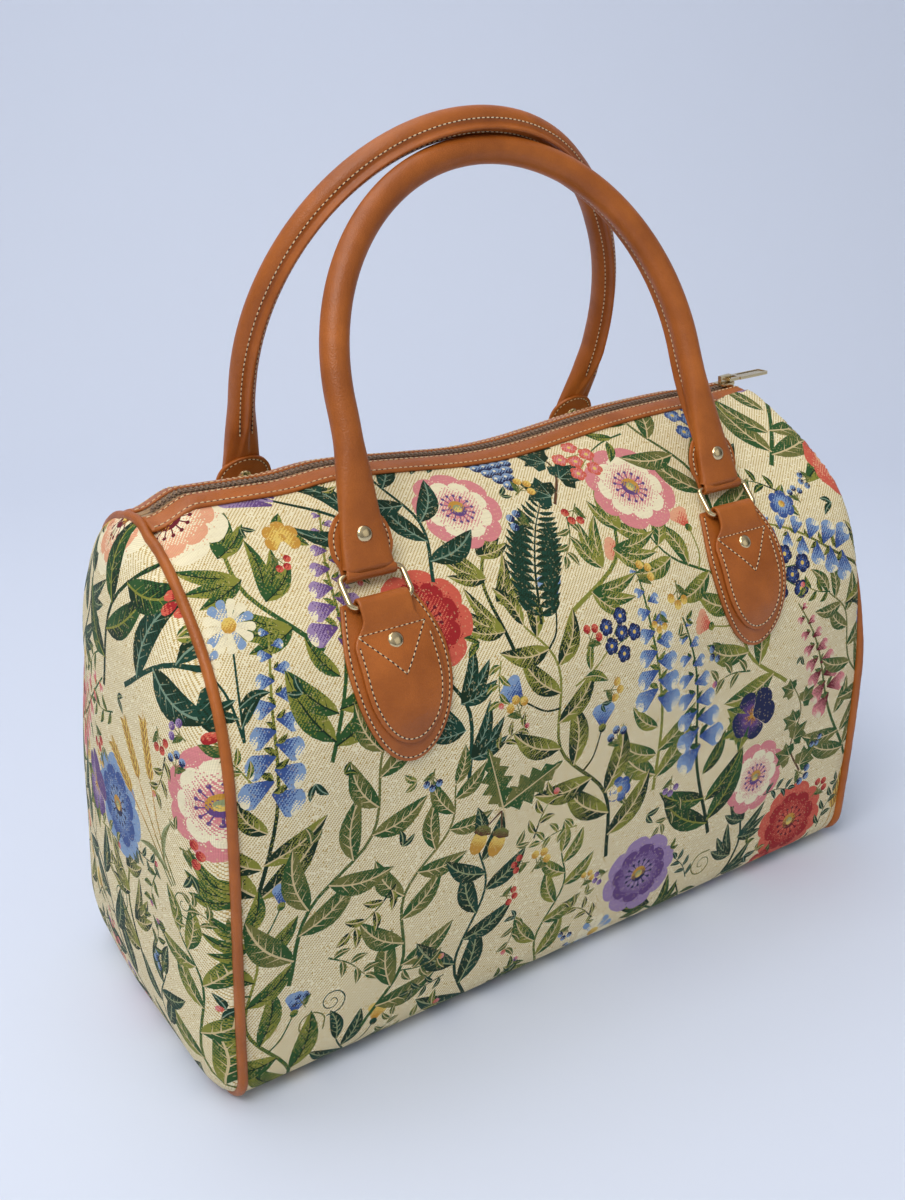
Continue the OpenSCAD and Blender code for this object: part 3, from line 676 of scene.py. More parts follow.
INK = {name: srgb(*colour) for name, colour in {
    "cream": (233, 222, 188), "ivory": (246, 236, 200), "sand": (216, 196, 148), "gold": (200, 170, 102),
    "pine": (26, 50, 32), "green": (48, 88, 44), "moss": (138, 140, 58), "olive": (114, 116, 60),
    "sage": (150, 160, 116), "teal": (28, 68, 54), "mist": (124, 150, 128), "red": (166, 40, 42),
    "wine": (108, 28, 40), "coral": (214, 98, 78), "peach": (233, 168, 132), "pink": (222, 138, 140),
    "violet": (104, 74, 130), "lilac": (162, 138, 178), "blue": (62, 88, 148), "sky": (134, 162, 198),
    "navy": (34, 42, 80), "brown": (98, 66, 44), "ochre": (202, 150, 62), "yellow": (232, 200, 104),
}.items()}


# Share of golden thread in the pale ground
GROUND_BLEND = 0.4


def spin(turn):
    """Matrix that turns rows of points."""
    c, s = math.cos(turn), math.sin(turn)
    return np.array([[c, s], [-s, c]])


def heading(turn):
    """Unit vector along the length of a shape with this turn."""
    return np.array([-math.sin(turn), math.cos(turn)])


def turn_along(d):
    return math.atan2(d[1], d[0]) - math.pi / 2


def choose(rng, sets):
    """One of several sets of inks, which are written as words with commas between the sets."""
    return rng.choice([tuple(inks.split()) for inks in sets.split(",")])


class Art:
    """A painted list of shapes: points, two inks and the line that the inks fade along."""

    def __init__(self):
        self.shapes = []
        self.frame = (0.0, 0.0, 1.0, 0.0, 1.0)

    def at(self, x, y, size, turn, flip=1.0):
        self.frame = (x, y, size, turn, flip)

    def move(self, points):
        x, y, size, turn, flip = self.frame
        p = np.asarray(points, float) * size
        p = p * np.array([flip, 1.0])
        c, s = math.cos(turn), math.sin(turn)
        return np.stack([x + p[:, 0] * c - p[:, 1] * s, y + p[:, 0] * s + p[:, 1] * c], axis=1)

    def add(self, points, ink, fade=None, line=None):
        placed = self.move(points)
        after = np.roll(placed, -1, axis=0)
        turn = np.sum(placed[:, 0] * after[:, 1] - placed[:, 1] * after[:, 0])
        ends = self.move(line) if line is not None else placed[:2]
        loop = placed if turn > 0 else placed[::-1]
        self.shapes.append((loop, INK[ink], INK[fade or ink], ends[0], ends[1]))

    def leaf(self, root, turn, length, width, ink, side, vein, bend=0.12, steps=7):
        """Pointed leaf with one half in a second ink and a midrib."""
        t = np.linspace(0, 1, steps)
        mid = np.stack([bend * length * np.sin(math.pi * t) * 0.8, length * t], axis=1)
        half = width / 2 * np.sin(math.pi * t ** 0.82) ** 0.85
        left = mid - np.stack([half, 0 * half], axis=1)
        right = mid + np.stack([half, 0 * half], axis=1)
        rot = spin(turn)
        def put(p):
            return np.asarray(p) @ rot + np.asarray(root)
        line = put([mid[0], mid[-1]])
        self.add(put(np.concatenate([left, right[-2:0:-1]])), ink, side, line)
        self.add(put(np.concatenate([mid, right[-2:0:-1]])), side, ink, line)
        if vein:
            w = max(0.035 * width, 0.28)
            rib = np.concatenate([mid[:-1] - [w, 0], mid[-1:], (mid[:-1] + [w, 0])[::-1]])
            self.add(put(rib), vein)
        if vein and length > 21:
            for k in np.arange(0.2, 0.82, 0.14):
                start = np.array([np.interp(k, t, mid[:, 0]), k * length])
                reach = 0.78 * np.interp(k + 0.13, t, half)
                for hand in (-1, 1):
                    x = np.interp(k + 0.13, t, mid[:, 0]) + hand * reach
                    tip = np.array([x, (k + 0.13) * length])
                    self.add(put([start - [0, 0.45], tip, start + [0, 0.45]]), vein)

    def petal(self, root, turn, length, width, ink, fade, notch=0.0, steps=9):
        """Rounded petal, widest near its outer end."""
        a = np.linspace(0, math.pi, steps)
        tip = length - width / 2 * 0.8
        rise = width / 2 * 0.8 * np.sin(a) * (1 - notch * np.sin(a) ** 8)
        arc = np.stack([width / 2 * np.cos(a), tip + rise], axis=1)
        p = np.concatenate([[(0.06 * width, 0)], arc, [(-0.06 * width, 0)]])
        rot = spin(turn)
        base = np.asarray(root)
        self.add(p @ rot + base, ink, fade, np.array([(0, 0), (0, length)]) @ rot + base)

    def disc(self, centre, radius, ink, fade=None, squash=1.0, turn=0.0, steps=11):
        a = circle(steps)
        p = np.stack([radius * np.cos(a), radius * squash * np.sin(a)], axis=1)
        p = p @ spin(turn) + np.asarray(centre)
        self.add(p, ink, fade, [np.asarray(centre) - [0, radius], np.asarray(centre) + [0, radius]])

    def stem(self, points, thick, thin, ink, fade=None, steps=5):
        """Tapering stroke through a few points."""
        p = np.asarray(points, float)
        p = np.concatenate([[2 * p[0] - p[1]], p, [2 * p[-1] - p[-2]]])
        out = []
        for i in range(1, len(p) - 2):
            for t in np.linspace(0, 1, steps, endpoint=False):
                out.append(0.5 * (2 * p[i] + (p[i + 1] - p[i - 1]) * t
                                  + (2 * p[i - 1] - 5 * p[i] + 4 * p[i + 1] - p[i + 2]) * t * t
                                  + (3 * p[i] - p[i - 1] - 3 * p[i + 1] + p[i + 2]) * t ** 3))
        out = np.array(out + [p[-2]])
        d = np.gradient(out, axis=0)
        d /= np.linalg.norm(d, axis=1, keepdims=True) + 1e-9
        half = np.linspace(thick, thin, len(out)) / 2
        side = np.stack([-d[:, 1], d[:, 0]], axis=1) * half[:, None]
        self.add(np.concatenate([out + side, (out - side)[::-1]]), ink, fade, [out[0], out[-1]])
        return out


GREENS = "pine moss sand, green olive sand, teal pine mist, moss green sand, pine teal sage, " \
         "pine green moss, green moss pine"
# Shares of a whole turn
FIFTH = 1.2566
SIXTH = 1.0472
TWELFTH = 0.5236


def branch(art, rng):
    g = choose(rng, GREENS)
    line = art.stem([(0, -72), (9, -34), (-7, 6), (6, 44), (0, 68)], 2.4, 1.0, g[0], g[1], steps=6)
    for k, i in enumerate(range(2, len(line) - 1, 2)):
        d = line[i + 1] - line[i - 1]
        a = turn_along(d)
        side = 1 if k % 2 else -1
        size = 40 * (1 - 0.42 * i / len(line))
        turn = a + side * rng.uniform(0.62, 0.92)
        art.leaf(line[i], turn, size, size * 0.36, *g, bend=-0.13 * side, steps=9)
    art.leaf(line[-1], 0.1, 22, 8, *g)
    if rng.random() < 0.6:
        inks = choose(rng, "coral peach, violet lilac, ochre yellow, blue sky")
        for i, side in ((9, 1), (15, -1), (20, 1)):
            tip = line[i] + [side * 17, 15]
            art.stem([line[i], line[i] + [side * 8, 4], tip], 1.1, 0.8, g[0])
            for turn in (0.35, -0.35, 0.0):
                art.petal(tip, turn - side * 0.4, 13, 7, *inks, steps=7)
            art.disc(tip, 2.4, g[0], g[1], steps=8)


def spire(art, rng):
    g = choose(rng, GREENS)
    art.stem([(0, -70), (4, -20), (-2, 30), (0, 70)], 2.6, 1.0, g[0], g[1])
    for y, turn, size in ((-60, 0.75, 46), (-62, -0.7, 44), (-46, 1.0, 36), (-44, -0.95, 38), (-28, 0.8, 28)):
        art.leaf((1, y), turn, size, size * 0.32, *g, bend=-0.12 * np.sign(turn), steps=9)
    inks = choose(rng, "coral pink ivory, violet lilac ivory, blue sky ivory, wine pink cream")
    for k in range(14):
        size = 19 * (1 - 0.055 * k)
        side = 1 if k % 2 else -1
        turn = side * (2.05 - 0.05 * k)
        root = np.array([0.0, -8 + k * 5.6])
        along = heading(turn)
        art.petal(root, turn, size, size * 0.78, inks[0], inks[1], steps=8)
        art.disc(root + along * size * 0.86, size * 0.3, inks[2], inks[1], squash=0.5, turn=turn, steps=9)
        art.leaf(root, turn - side * 0.9, size * 0.5, size * 0.2, g[0], g[1], None, steps=5)


def windflower(art, rng):
    g = choose(rng, GREENS)
    art.stem([(0, -70), (-8, -30), (2, -4), (0, 20)], 2.4, 1.6, g[0], g[1])
    for y, lean in ((-54, 1), (-38, -1), (-24, 1), (-10, -1)):
        for k in range(3):
            art.leaf((-4, y), lean * (0.55 + 0.4 * k), 32 - 4 * k, 7.5, *g, bend=-0.1 * lean, steps=8)
    inks = choose(rng, "red coral wine, blue sky navy, violet lilac navy, peach ivory wine, ivory pink violet")
    start = rng.uniform(0, 6)
    for ring, (count, length, width) in enumerate(((8, 28, 19), (8, 21, 13))):
        for k in range(count):
            turn = start + (k + 0.5 * ring) * 2 * math.pi / count
            art.petal((0, 22), turn, length, width, inks[ring], inks[1 - ring], 0.08)
    for k in range(14):
        a = k * 2 * math.pi / 14
        tip = (9.5 * math.cos(a), 22 + 9.5 * math.sin(a))
        art.stem([(0, 22), tip], 0.7, 0.6, inks[2], steps=2)
        art.disc(tip, 1.1, inks[2], steps=6)
    art.disc((0, 22), 5.6, inks[2], "ochre", steps=12)
    art.disc((0, 22), 2.8, "yellow", "sage", steps=9)


def dog_rose(art, rng):
    g = choose(rng, GREENS)
    for k in range(4):
        art.leaf((0, 0), k * 1.57 + 0.5, 31, 12, *g)
    inks = choose(rng, "peach coral ivory, ivory pink cream, pink red peach, coral red peach")
    start = rng.uniform(0, 6)
    for k in range(5):
        art.petal((0, 0), start + k * FIFTH, 22, 23, inks[0], inks[1], 0.18)
    for k in range(5):
        art.petal((0, 0), start + k * FIFTH + 0.08, 14, 11, inks[2], inks[0])
    art.disc((0, 0), 6.0, "ochre", "yellow")
    for k in range(12):
        a = k * TWELFTH
        art.disc((7.4 * math.cos(a), 7.4 * math.sin(a)), 0.9, "brown" if k % 2 else "yellow", steps=6)
    art.disc((0, 0), 2.6, "olive", "green", steps=8)


def tulip(art, rng):
    g = choose(rng, GREENS)
    art.stem([(0, -44), (2, -15), (0, 14)], 2.2, 1.6, g[0], g[1])
    art.leaf((0.5, -40), -0.28, 50, 11, *g, bend=0.18)
    art.leaf((-0.5, -42), 0.32, 44, 10, *g, bend=-0.2)
    inks = choose(rng, "red coral wine, ochre yellow coral, violet lilac navy, coral peach red")
    art.petal((0, 10), 0.0, 30, 17, inks[2], inks[0])
    art.petal((-3, 9), 0.24, 31, 14, inks[0], inks[1])
    art.petal((3, 9), -0.24, 31, 14, inks[0], inks[1])
    art.petal((0, 9), 0.0, 24, 12, inks[1], inks[0])
    art.stem([(0, 12), (0.5, 20), (0, 28)], 1.0, 0.4, inks[2])


def fern(art, rng):
    g = choose(rng, GREENS)
    rib = art.stem([(0, -42), (3, -14), (0, 14), (-8, 40)], 1.8, 0.5, g[1], g[0], steps=6)
    for i in range(1, len(rib) - 1):
        t = i / len(rib)
        size = 19 * math.sin(math.pi * min(1.0, 0.22 + t * 0.8)) + 2
        d = rib[i + 1] - rib[i - 1]
        a = turn_along(d)
        for side in (-1, 1):
            art.leaf(rib[i], a + side * 1.02, size, size * 0.27, g[0], g[1], None, bend=-0.1 * side, steps=6)


def ivy_leaf(art, root, turn, size, inks):
    shape = np.array([(0, 0), (0.34, -0.1), (0.62, 0.12), (0.44, 0.36), (0.56, 0.66), (0.24, 0.66), (0, 1.1),
                      (-0.24, 0.66), (-0.56, 0.66), (-0.44, 0.36), (-0.62, 0.12), (-0.34, -0.1)]) * size
    rot = spin(turn)
    base = np.asarray(root)
    art.add(shape @ rot + base, inks[0], inks[1], np.array([(0, 0), (0, size)]) @ rot + base)
    half = np.concatenate([shape[:7], [(0, 0.5 * size)]])
    art.add(half @ rot + base, inks[1], inks[0], np.array([(0, 0), (0, size)]) @ rot + base)
    for tip in ((0, 0.92), (0.46, 0.56), (-0.46, 0.56)):
        end = np.array(tip) * size
        w = np.array([end[1], -end[0]]) / np.linalg.norm(end) * 0.022 * size
        art.add(np.array([w, end, -w]) @ rot + base, inks[2])


def ivy(art, rng):
    g = choose(rng, GREENS)
    line = art.stem([(-4, -42), (5, -18), (-5, 8), (4, 34)], 1.7, 0.8, "brown", "olive", steps=6)
    for i in range(1, len(line), 3):
        side = 1 if (i // 3) % 2 else -1
        ivy_leaf(art, line[i] + [2.0 * side, 1], -side * 1.0, 17 - 0.3 * i, g)


def rowan(art, rng):
    g = choose(rng, GREENS)
    for turn in (0.85, -0.75):
        tip = heading(turn) * 40
        art.stem([(0, -6), tip * 0.5 + [0, -3], tip], 1.4, 0.6, g[0])
        for k in range(1, 6):
            p = tip * k / 5.5 + [0, -3]
            for side in (-1, 1):
                art.leaf(p, turn + side * 0.95, 13, 5, *g, bend=0.05 * side)
    art.stem([(0, -38), (1, -20), (0, -4)], 1.8, 1.2, "brown")
    inks = choose(rng, "red coral, wine red, coral ochre, navy sky")
    spots = [(0, 4), (5.4, 7), (-5.4, 6.4), (2.6, 12), (-3.2, 12.4), (8.4, 13), (-8.8, 12), (0.4, 18),
             (5.8, 18.4), (-5.6, 18)]
    for p in spots:
        art.disc(p, 3.4, inks[0], inks[1])
        art.disc((p[0] + 1.0, p[1] + 1.1), 0.9, "ivory", steps=6)


def wheat(art, rng):
    for shift, lean in ((0, 0.0), (-9, 0.22), (9, -0.2)):
        top = np.array([shift * 1.5, 14 + abs(lean) * -20])
        line = art.stem([(shift * 0.2, -42), (shift * 0.6, -14), top], 1.2, 0.9, "olive", "ochre")
        d = top - line[-3]
        a = turn_along(d)
        axis = heading(a)
        for k in range(7):
            p = top + axis * (k * 4.0 - 2)
            for side in (-1, 1):
                art.leaf(p, a + side * 0.42, 8.6, 3.8, "ochre", "yellow", "brown", steps=6)
            art.stem([p, p + axis * 13 + [math.cos(a) * 2.5, 0]], 0.35, 0.2, "ochre", steps=2)
    art.leaf((0, -36), 0.8, 30, 4, "olive", "sage", None, bend=0.2)
    art.leaf((0, -30), -0.9, 26, 4, "olive", "sage", None, bend=-0.2)


def pansy(art, rng):
    g = choose(rng, GREENS)
    for k in range(3):
        ivy_leaf(art, (0, -4), 2.2 + k * 0.95, 21, g)
    inks = choose(rng, "violet lilac yellow, blue sky ivory, wine coral yellow, navy violet ochre")
    for turn in (0.5, -0.5):
        art.petal((0, 2), turn, 20, 17, inks[0], inks[0])
    for turn in (1.55, -1.55):
        art.petal((0, 0), turn, 18, 15, inks[1], inks[0])
    art.petal((0, 1), math.pi, 19, 20, inks[1], inks[0], 0.15)
    for turn in (1.55, -1.55, math.pi):
        art.petal((0, 0.5), turn, 9, 7, inks[2], inks[1])
    for turn in (1.3, 1.7, -1.3, -1.7, 2.9, 3.4):
        art.stem([(0, 0), heading(turn) * 7.5], 0.7, 0.25, "wine", steps=2)
    art.disc((0, 0), 1.7, "ochre", steps=7)


def strawberry(art, rng):
    g = choose(rng, GREENS)
    for turn in (0.2, 1.15, -0.8):
        art.leaf((0, 8), turn, 27, 17, *g, bend=0.03)
    for root, lean in (((-10, -2), 0.25), ((9, -5), -0.3)):
        x, y = root
        art.stem([(0, 8), (x * 0.7, y + 10), (x, y + 2)], 1.2, 0.9, "olive")
        rot = spin(lean)
        a = circle(18)
        heart = np.stack([9.0 * np.sin(a) * (1 - 0.28 * np.cos(a)), 11.5 * np.cos(a) - 10], axis=1)
        art.add(heart @ rot + np.array(root), "red", "coral", [(x, y - 22), (x, y + 2)])
        for i in range(4):
            for j in range(3):
                q = np.array([(j - 1) * 4.0 + (i % 2) * 1.6 - 0.8, -4.5 - i * 3.8])
                art.disc(q @ rot + np.array(root), 0.6, "yellow", steps=5)
        for k in range(5):
            art.leaf((x, y + 1), math.pi + lean + (k - 2) * 0.62, 7, 3, "green", "pine", None, steps=5)


def grapes(art, rng):
    ivy_leaf(art, (-4, 6), 0.55, 30, choose(rng, GREENS))
    art.stem([(8, 34), (4, 18), (2, 8)], 2.0, 1.4, "brown")
    art.stem([(5, 22), (16, 26), (20, 18), (14, 15), (12, 20)], 0.9, 0.4, "olive")
    inks = choose(rng, "violet lilac, navy sky, wine pink")
    for row, count in enumerate((4, 5, 4, 3, 2, 1)):
        for k in range(count):
            p = ((k - (count - 1) / 2) * 6.3 + 2, 4 - row * 5.8)
            art.disc(p, 3.7, inks[0], inks[1])
            art.disc((p[0] + 1.0, p[1] + 1.3), 0.95, "ivory", steps=6)


def oak(art, rng):
    inks = choose(rng, "olive ochre brown, green olive sand, ochre coral brown, pine green sage")
    for turn, size in ((0.75, 42), (-0.7, 38)):
        t = np.linspace(0, 1, 22)
        half = size * 0.27 * np.sin(math.pi * t ** 0.75) * (0.74 + 0.26 * np.cos(t * 6 * 2 * math.pi / 1.15))
        half = np.maximum(half, 0.4)
        rot = spin(turn)
        left, mid, right = (np.stack([k * half, t * size], axis=1) @ rot for k in (-1, 0, 1))
        line = np.array([(0, 0), (0, size)]) @ rot
        art.add(np.concatenate([left, right[::-1]]), inks[0], inks[1], line)
        art.add(np.concatenate([mid, right[::-1]]), inks[1], inks[0], line)
        art.stem(np.array([(0, -6), (0, size * 0.5), (0, size * 0.94)]) @ rot, 1.1, 0.4, inks[2])
    for x in (-6, 7):
        art.stem([(0, -2), (x * 0.5, -8), (x, -14)], 1.2, 0.9, "brown")
        art.disc((x, -21), 5.2, "ochre", "yellow", squash=1.45)
        cup = [(x - 6, -16), (x - 4.6, -12.4), (x, -11), (x + 4.6, -12.4), (x + 6, -16), (x, -17.5)]
        art.add(cup, "brown", "olive", [(x, -18), (x, -11)])


def camellia(art, rng):
    g = choose(rng, GREENS)
    for k in range(5):
        art.leaf((0, 0), k * FIFTH + 0.3, 33, 15, *g)
    inks = choose(rng, "wine red coral, red coral peach, coral peach ivory, violet lilac ivory")
    rings = ((8, 23, 15), (7, 17, 12), (6, 11.5, 9), (5, 6.5, 5.5))
    for ring, (count, length, width) in enumerate(rings):
        for k in range(count):
            a = 2 * math.pi * (k + ring * 0.37) / count
            first, second = inks[min(ring, 1)], inks[min(1 + ring % 2, 2)]
            art.petal((0, 0), a, length, width, first, second, 0.1, steps=7)
    art.disc((0, 0), 2.6, "ochre", "yellow", steps=8)


def forget_me_not(art, rng):
    g = choose(rng, GREENS)
    art.stem([(0, -30), (-1, -12), (2, 6)], 1.4, 0.8, g[0])
    art.leaf((0, -22), 0.8, 20, 7, *g)
    art.leaf((0, -16), -0.85, 18, 6, *g)
    inks = choose(rng, "sky blue, blue navy, lilac violet, pink coral")
    for p in ((2, 16), (-9, 10), (12, 9), (-4, 24), (10, 22), (1, 5)):
        art.stem([(1, 0), (p[0] * 0.6, p[1] * 0.6), p], 0.7, 0.5, g[1], steps=3)
        for k in range(5):
            art.petal(p, k * FIFTH, 5.4, 5.2, inks[0], inks[1], steps=6)
        art.disc(p, 1.3, "yellow", steps=6)


def daisies(art, rng):
    g = choose(rng, GREENS)
    for centre, size in (((-7, 14), 12.5), ((12, 4), 10.5)):
        art.stem([(0, -34), (centre[0] * 0.3, -12), centre], 1.3, 0.9, g[0])
        for k in range(13):
            a = 2 * math.pi * k / 13
            ink = "ivory" if k % 2 else "cream"
            art.petal(centre, a, size, size * 0.36, ink, "sky" if k % 3 == 0 else "ivory", steps=6)
        art.disc(centre, size * 0.3, "ochre", "yellow", steps=9)
    for k, turn in enumerate((0.9, -0.9, 1.5, -1.5)):
        art.leaf((0, -28 + 4 * k), turn, 16, 5, *g)


def sprig(art, rng):
    g = choose(rng, GREENS)
    line = art.stem([(0, -14), (1.5, 0), (-1, 13)], 1.1, 0.5, g[0], g[1])
    for k, i in enumerate(range(1, len(line), 2)):
        art.leaf(line[i], (1 if k % 2 else -1) * 0.9, 10.5, 4.0, *g)
    if rng.random() < 0.5:
        art.disc(line[-1], 2.0, rng.choice(["red", "coral", "blue", "violet", "ochre"]), "pink", steps=8)
    else:
        art.leaf(line[-1], 0.0, 9, 4, *g)


def bloom(art, rng):
    inks = choose(rng, "sky blue, pink coral, lilac violet, yellow ochre, ivory peach, coral red")
    g = choose(rng, GREENS)
    art.leaf((0, 0), 2.3, 14, 6, *g)
    art.leaf((0, 0), -2.2, 13, 6, *g)
    for k in range(6):
        art.petal((0, 0), k * SIXTH, 9, 7, inks[0], inks[1], steps=7)
    art.disc((0, 0), 2.3, "ochre", "yellow", steps=8)


def tendril(art, rng):
    a = np.linspace(0, 3.4 * math.pi, 12)
    r = np.linspace(9, 1.2, 12)
    curl = np.stack([r * np.cos(a), r * np.sin(a)], axis=1)
    art.stem(curl, 0.9, 0.45, rng.choice(["olive", "green", "teal"]), steps=3)


def berries(art, rng):
    inks = choose(rng, "red coral, navy sky, ochre yellow, violet lilac")
    art.stem([(0, -9), (0, 0)], 0.9, 0.6, "olive")
    for p in ((0, 3), (4.4, 0), (-4.4, 0.4)):
        art.stem([(0, -4), p], 0.6, 0.5, "olive", steps=2)
        art.disc(p, 2.5, *inks, steps=9)
    art.leaf((0, -7), 1.0, 9, 3.6, "green", "olive", None)


def leaf_pair(art, rng):
    g = choose(rng, GREENS)
    art.leaf((0, -3), 0.5, 9, 3.6, *g, steps=6)
    art.leaf((0, -3), -0.6, 8, 3.2, *g, steps=6)


# Motifs of each size, each with its reach in millimetres as circles along its own length
BRANCH = (branch, [(0, y, 23) for y in (-52, -18, 16, 48)])
CLUSTER = (forget_me_not, [(0, 12, 18), (0, -18, 14)])
HUGE = [BRANCH, (spire, [(0, -52, 28), (0, -16, 20), (0, 16, 17), (0, 48, 13)]),
        (windflower, [(0, 22, 29), (-2, -16, 22), (-2, -46, 22)]), BRANCH]
LARGE = [(dog_rose, [(0, 0, 29)]), (camellia, [(0, 0, 30)]), (tulip, [(0, 24, 19), (0, -6, 16), (0, -32, 13)]),
         (fern, [(-3, 28, 13), (0, 2, 18), (0, -28, 16)]), (ivy, [(2, 26, 17), (0, 0, 18), (0, -28, 17)]),
         (rowan, [(0, 14, 26), (0, -20, 14)]), (wheat, [(0, 26, 24), (0, -4, 18), (0, -32, 10)]),
         (pansy, [(0, -1, 24)]), (strawberry, [(0, 2, 26)]), (grapes, [(3, -6, 20), (0, 18, 18)]),
         (oak, [(0, 10, 28)]), (daisies, [(0, 10, 22), (0, -20, 14)]), CLUSTER]
MEDIUM = [(sprig, [(0, 0, 12)]), (bloom, [(0, -1, 11)]), (tendril, [(0, 0, 10)]), CLUSTER]
SMALL = [(berries, [(0, -1, 7)]), (leaf_pair, [(0, 0, 6)]), (sprig, [(0, 0, 12)])]


# Rounds of the fill: motifs, tries, least and most size, least distance as a share of the reach, spread of
# the turn, and most that are placed
ROUNDS = [
    (HUGE, 3000, (0.9, 1.15), 0.7, 0.45, 90),
    (LARGE, 5600, (0.9, 1.25), 0.7, 0.6, 400),
    (MEDIUM, 5600, (0.85, 1.3), 0.7, 1.6, 700),
    (SMALL, 6000, (0.8, 1.2), 0.74, 3.0, 900),
]
# How far the middle of a motif may lie outside the cut
OVERHANG = 6


def paint(width, height, seed, up):
    """Fills a cut from (-width/2, 0) to (width/2, height). up gives each motif's upright turn at a height."""
    rng = random.Random(seed)
    art = Art()
    taken = []
    def free(circles, slack):
        for x, y, r in circles:
            for x2, y2, r2 in taken:
                if (x - x2) ** 2 + (y - y2) ** 2 < (slack * (r + r2)) ** 2:
                    return False
        return True
    def scatter(kinds, tries, sizes, slack, lean, limit):
        count = 0
        bag = []
        for _ in range(tries):
            if not bag:
                bag = list(kinds)
                rng.shuffle(bag)
            x = rng.uniform(-width / 2 - OVERHANG, width / 2 + OVERHANG)
            y = rng.uniform(-OVERHANG, height + OVERHANG)
            draw, reach = bag[-1]
            size = rng.uniform(*sizes)
            turn = up(y) + rng.gauss(0, lean)
            flip = rng.choice((-1.0, 1.0))
            c, s = math.cos(turn), math.sin(turn)
            circles = [(x + size * (flip * a * c - b * s), y + size * (flip * a * s + b * c), r * size)
                       for a, b, r in reach]
            if not free(circles, slack):
                continue
            bag.pop()
            taken.extend(circles)
            art.at(x, y, size, turn, flip)
            draw(art, rng)
            count += 1
            if count >= limit:
                break
    for fill in ROUNDS:
        scatter(*fill)
    return art.shapes


# Least distance of a seed point from the tile's edge, and distance at which cut points become one
SEED_MARGIN = 0.1
MERGE_DISTANCE = 1e-3


def cut_tile(shapes, low, high, step, outline, columns, seeds):
    """Cuts one rectangle into its fields. Returns flat points, triangles and the topmost shape of each."""
    nx = max(1, int(round((high[0] - low[0]) / step)))
    ny = max(1, int(round((high[1] - low[1]) / step)))
    xs = np.linspace(low[0], high[0], nx + 1)
    xs = np.unique(np.concatenate([xs, [x for x in columns if low[0] < x < high[0]]]))
    ys = np.linspace(low[1], high[1], ny + 1)
    rim = [(x, ys[0]) for x in xs[:-1]] + [(xs[-1], y) for y in ys[:-1]]
    rim += [(x, ys[-1]) for x in xs[:0:-1]] + [(xs[0], y) for y in ys[:0:-1]]
    loops = [rim]
    if outline is not None:
        loops.append(outline)
    bounds = len(loops)
    layers = [-1] * bounds
    for k, shape in enumerate(shapes):
        points = shape[0]
        if (points.max(axis=0) > low).all() and (points.min(axis=0) < high).all():
            loops.append(points)
            layers.append(k)
    verts = []
    faces = []
    for loop in loops:
        faces.append(list(range(len(verts), len(verts) + len(loop))))
        verts += [Vector((float(p[0]), float(p[1]))) for p in loop]
    verts += [Vector((float(x), float(y))) for x in xs[1:-1] for y in ys[1:-1]]
    near = [p for p in seeds if (p > low + SEED_MARGIN).all() and (p < high - SEED_MARGIN).all()]
    verts += [Vector((float(p[0]), float(p[1]))) for p in near]
    flat, _, tris, _, _, owners = delaunay_2d_cdt(verts, [], faces, 0, MERGE_DISTANCE, True)
    flat = np.array([tuple(v) for v in flat])
    inside = set(range(bounds))
    lows = [np.min(loop, axis=0) - 0.01 for loop in loops]
    highs = [np.max(loop, axis=0) + 0.01 for loop in loops]
    kept = []
    tops = []
    for tri, owner in zip(tris, owners):
        if not inside.issubset(owner):
            continue
        middle = flat[tri].mean(axis=0)
        # A loop that crosses itself can claim ground outside its own box
        fair = [k for k in owner if k >= bounds and (middle > lows[k]).all() and (middle < highs[k]).all()]
        kept.append(tri)
        tops.append(layers[max(fair)] if fair else -1)
    return flat, np.array(kept), np.array(tops, int)


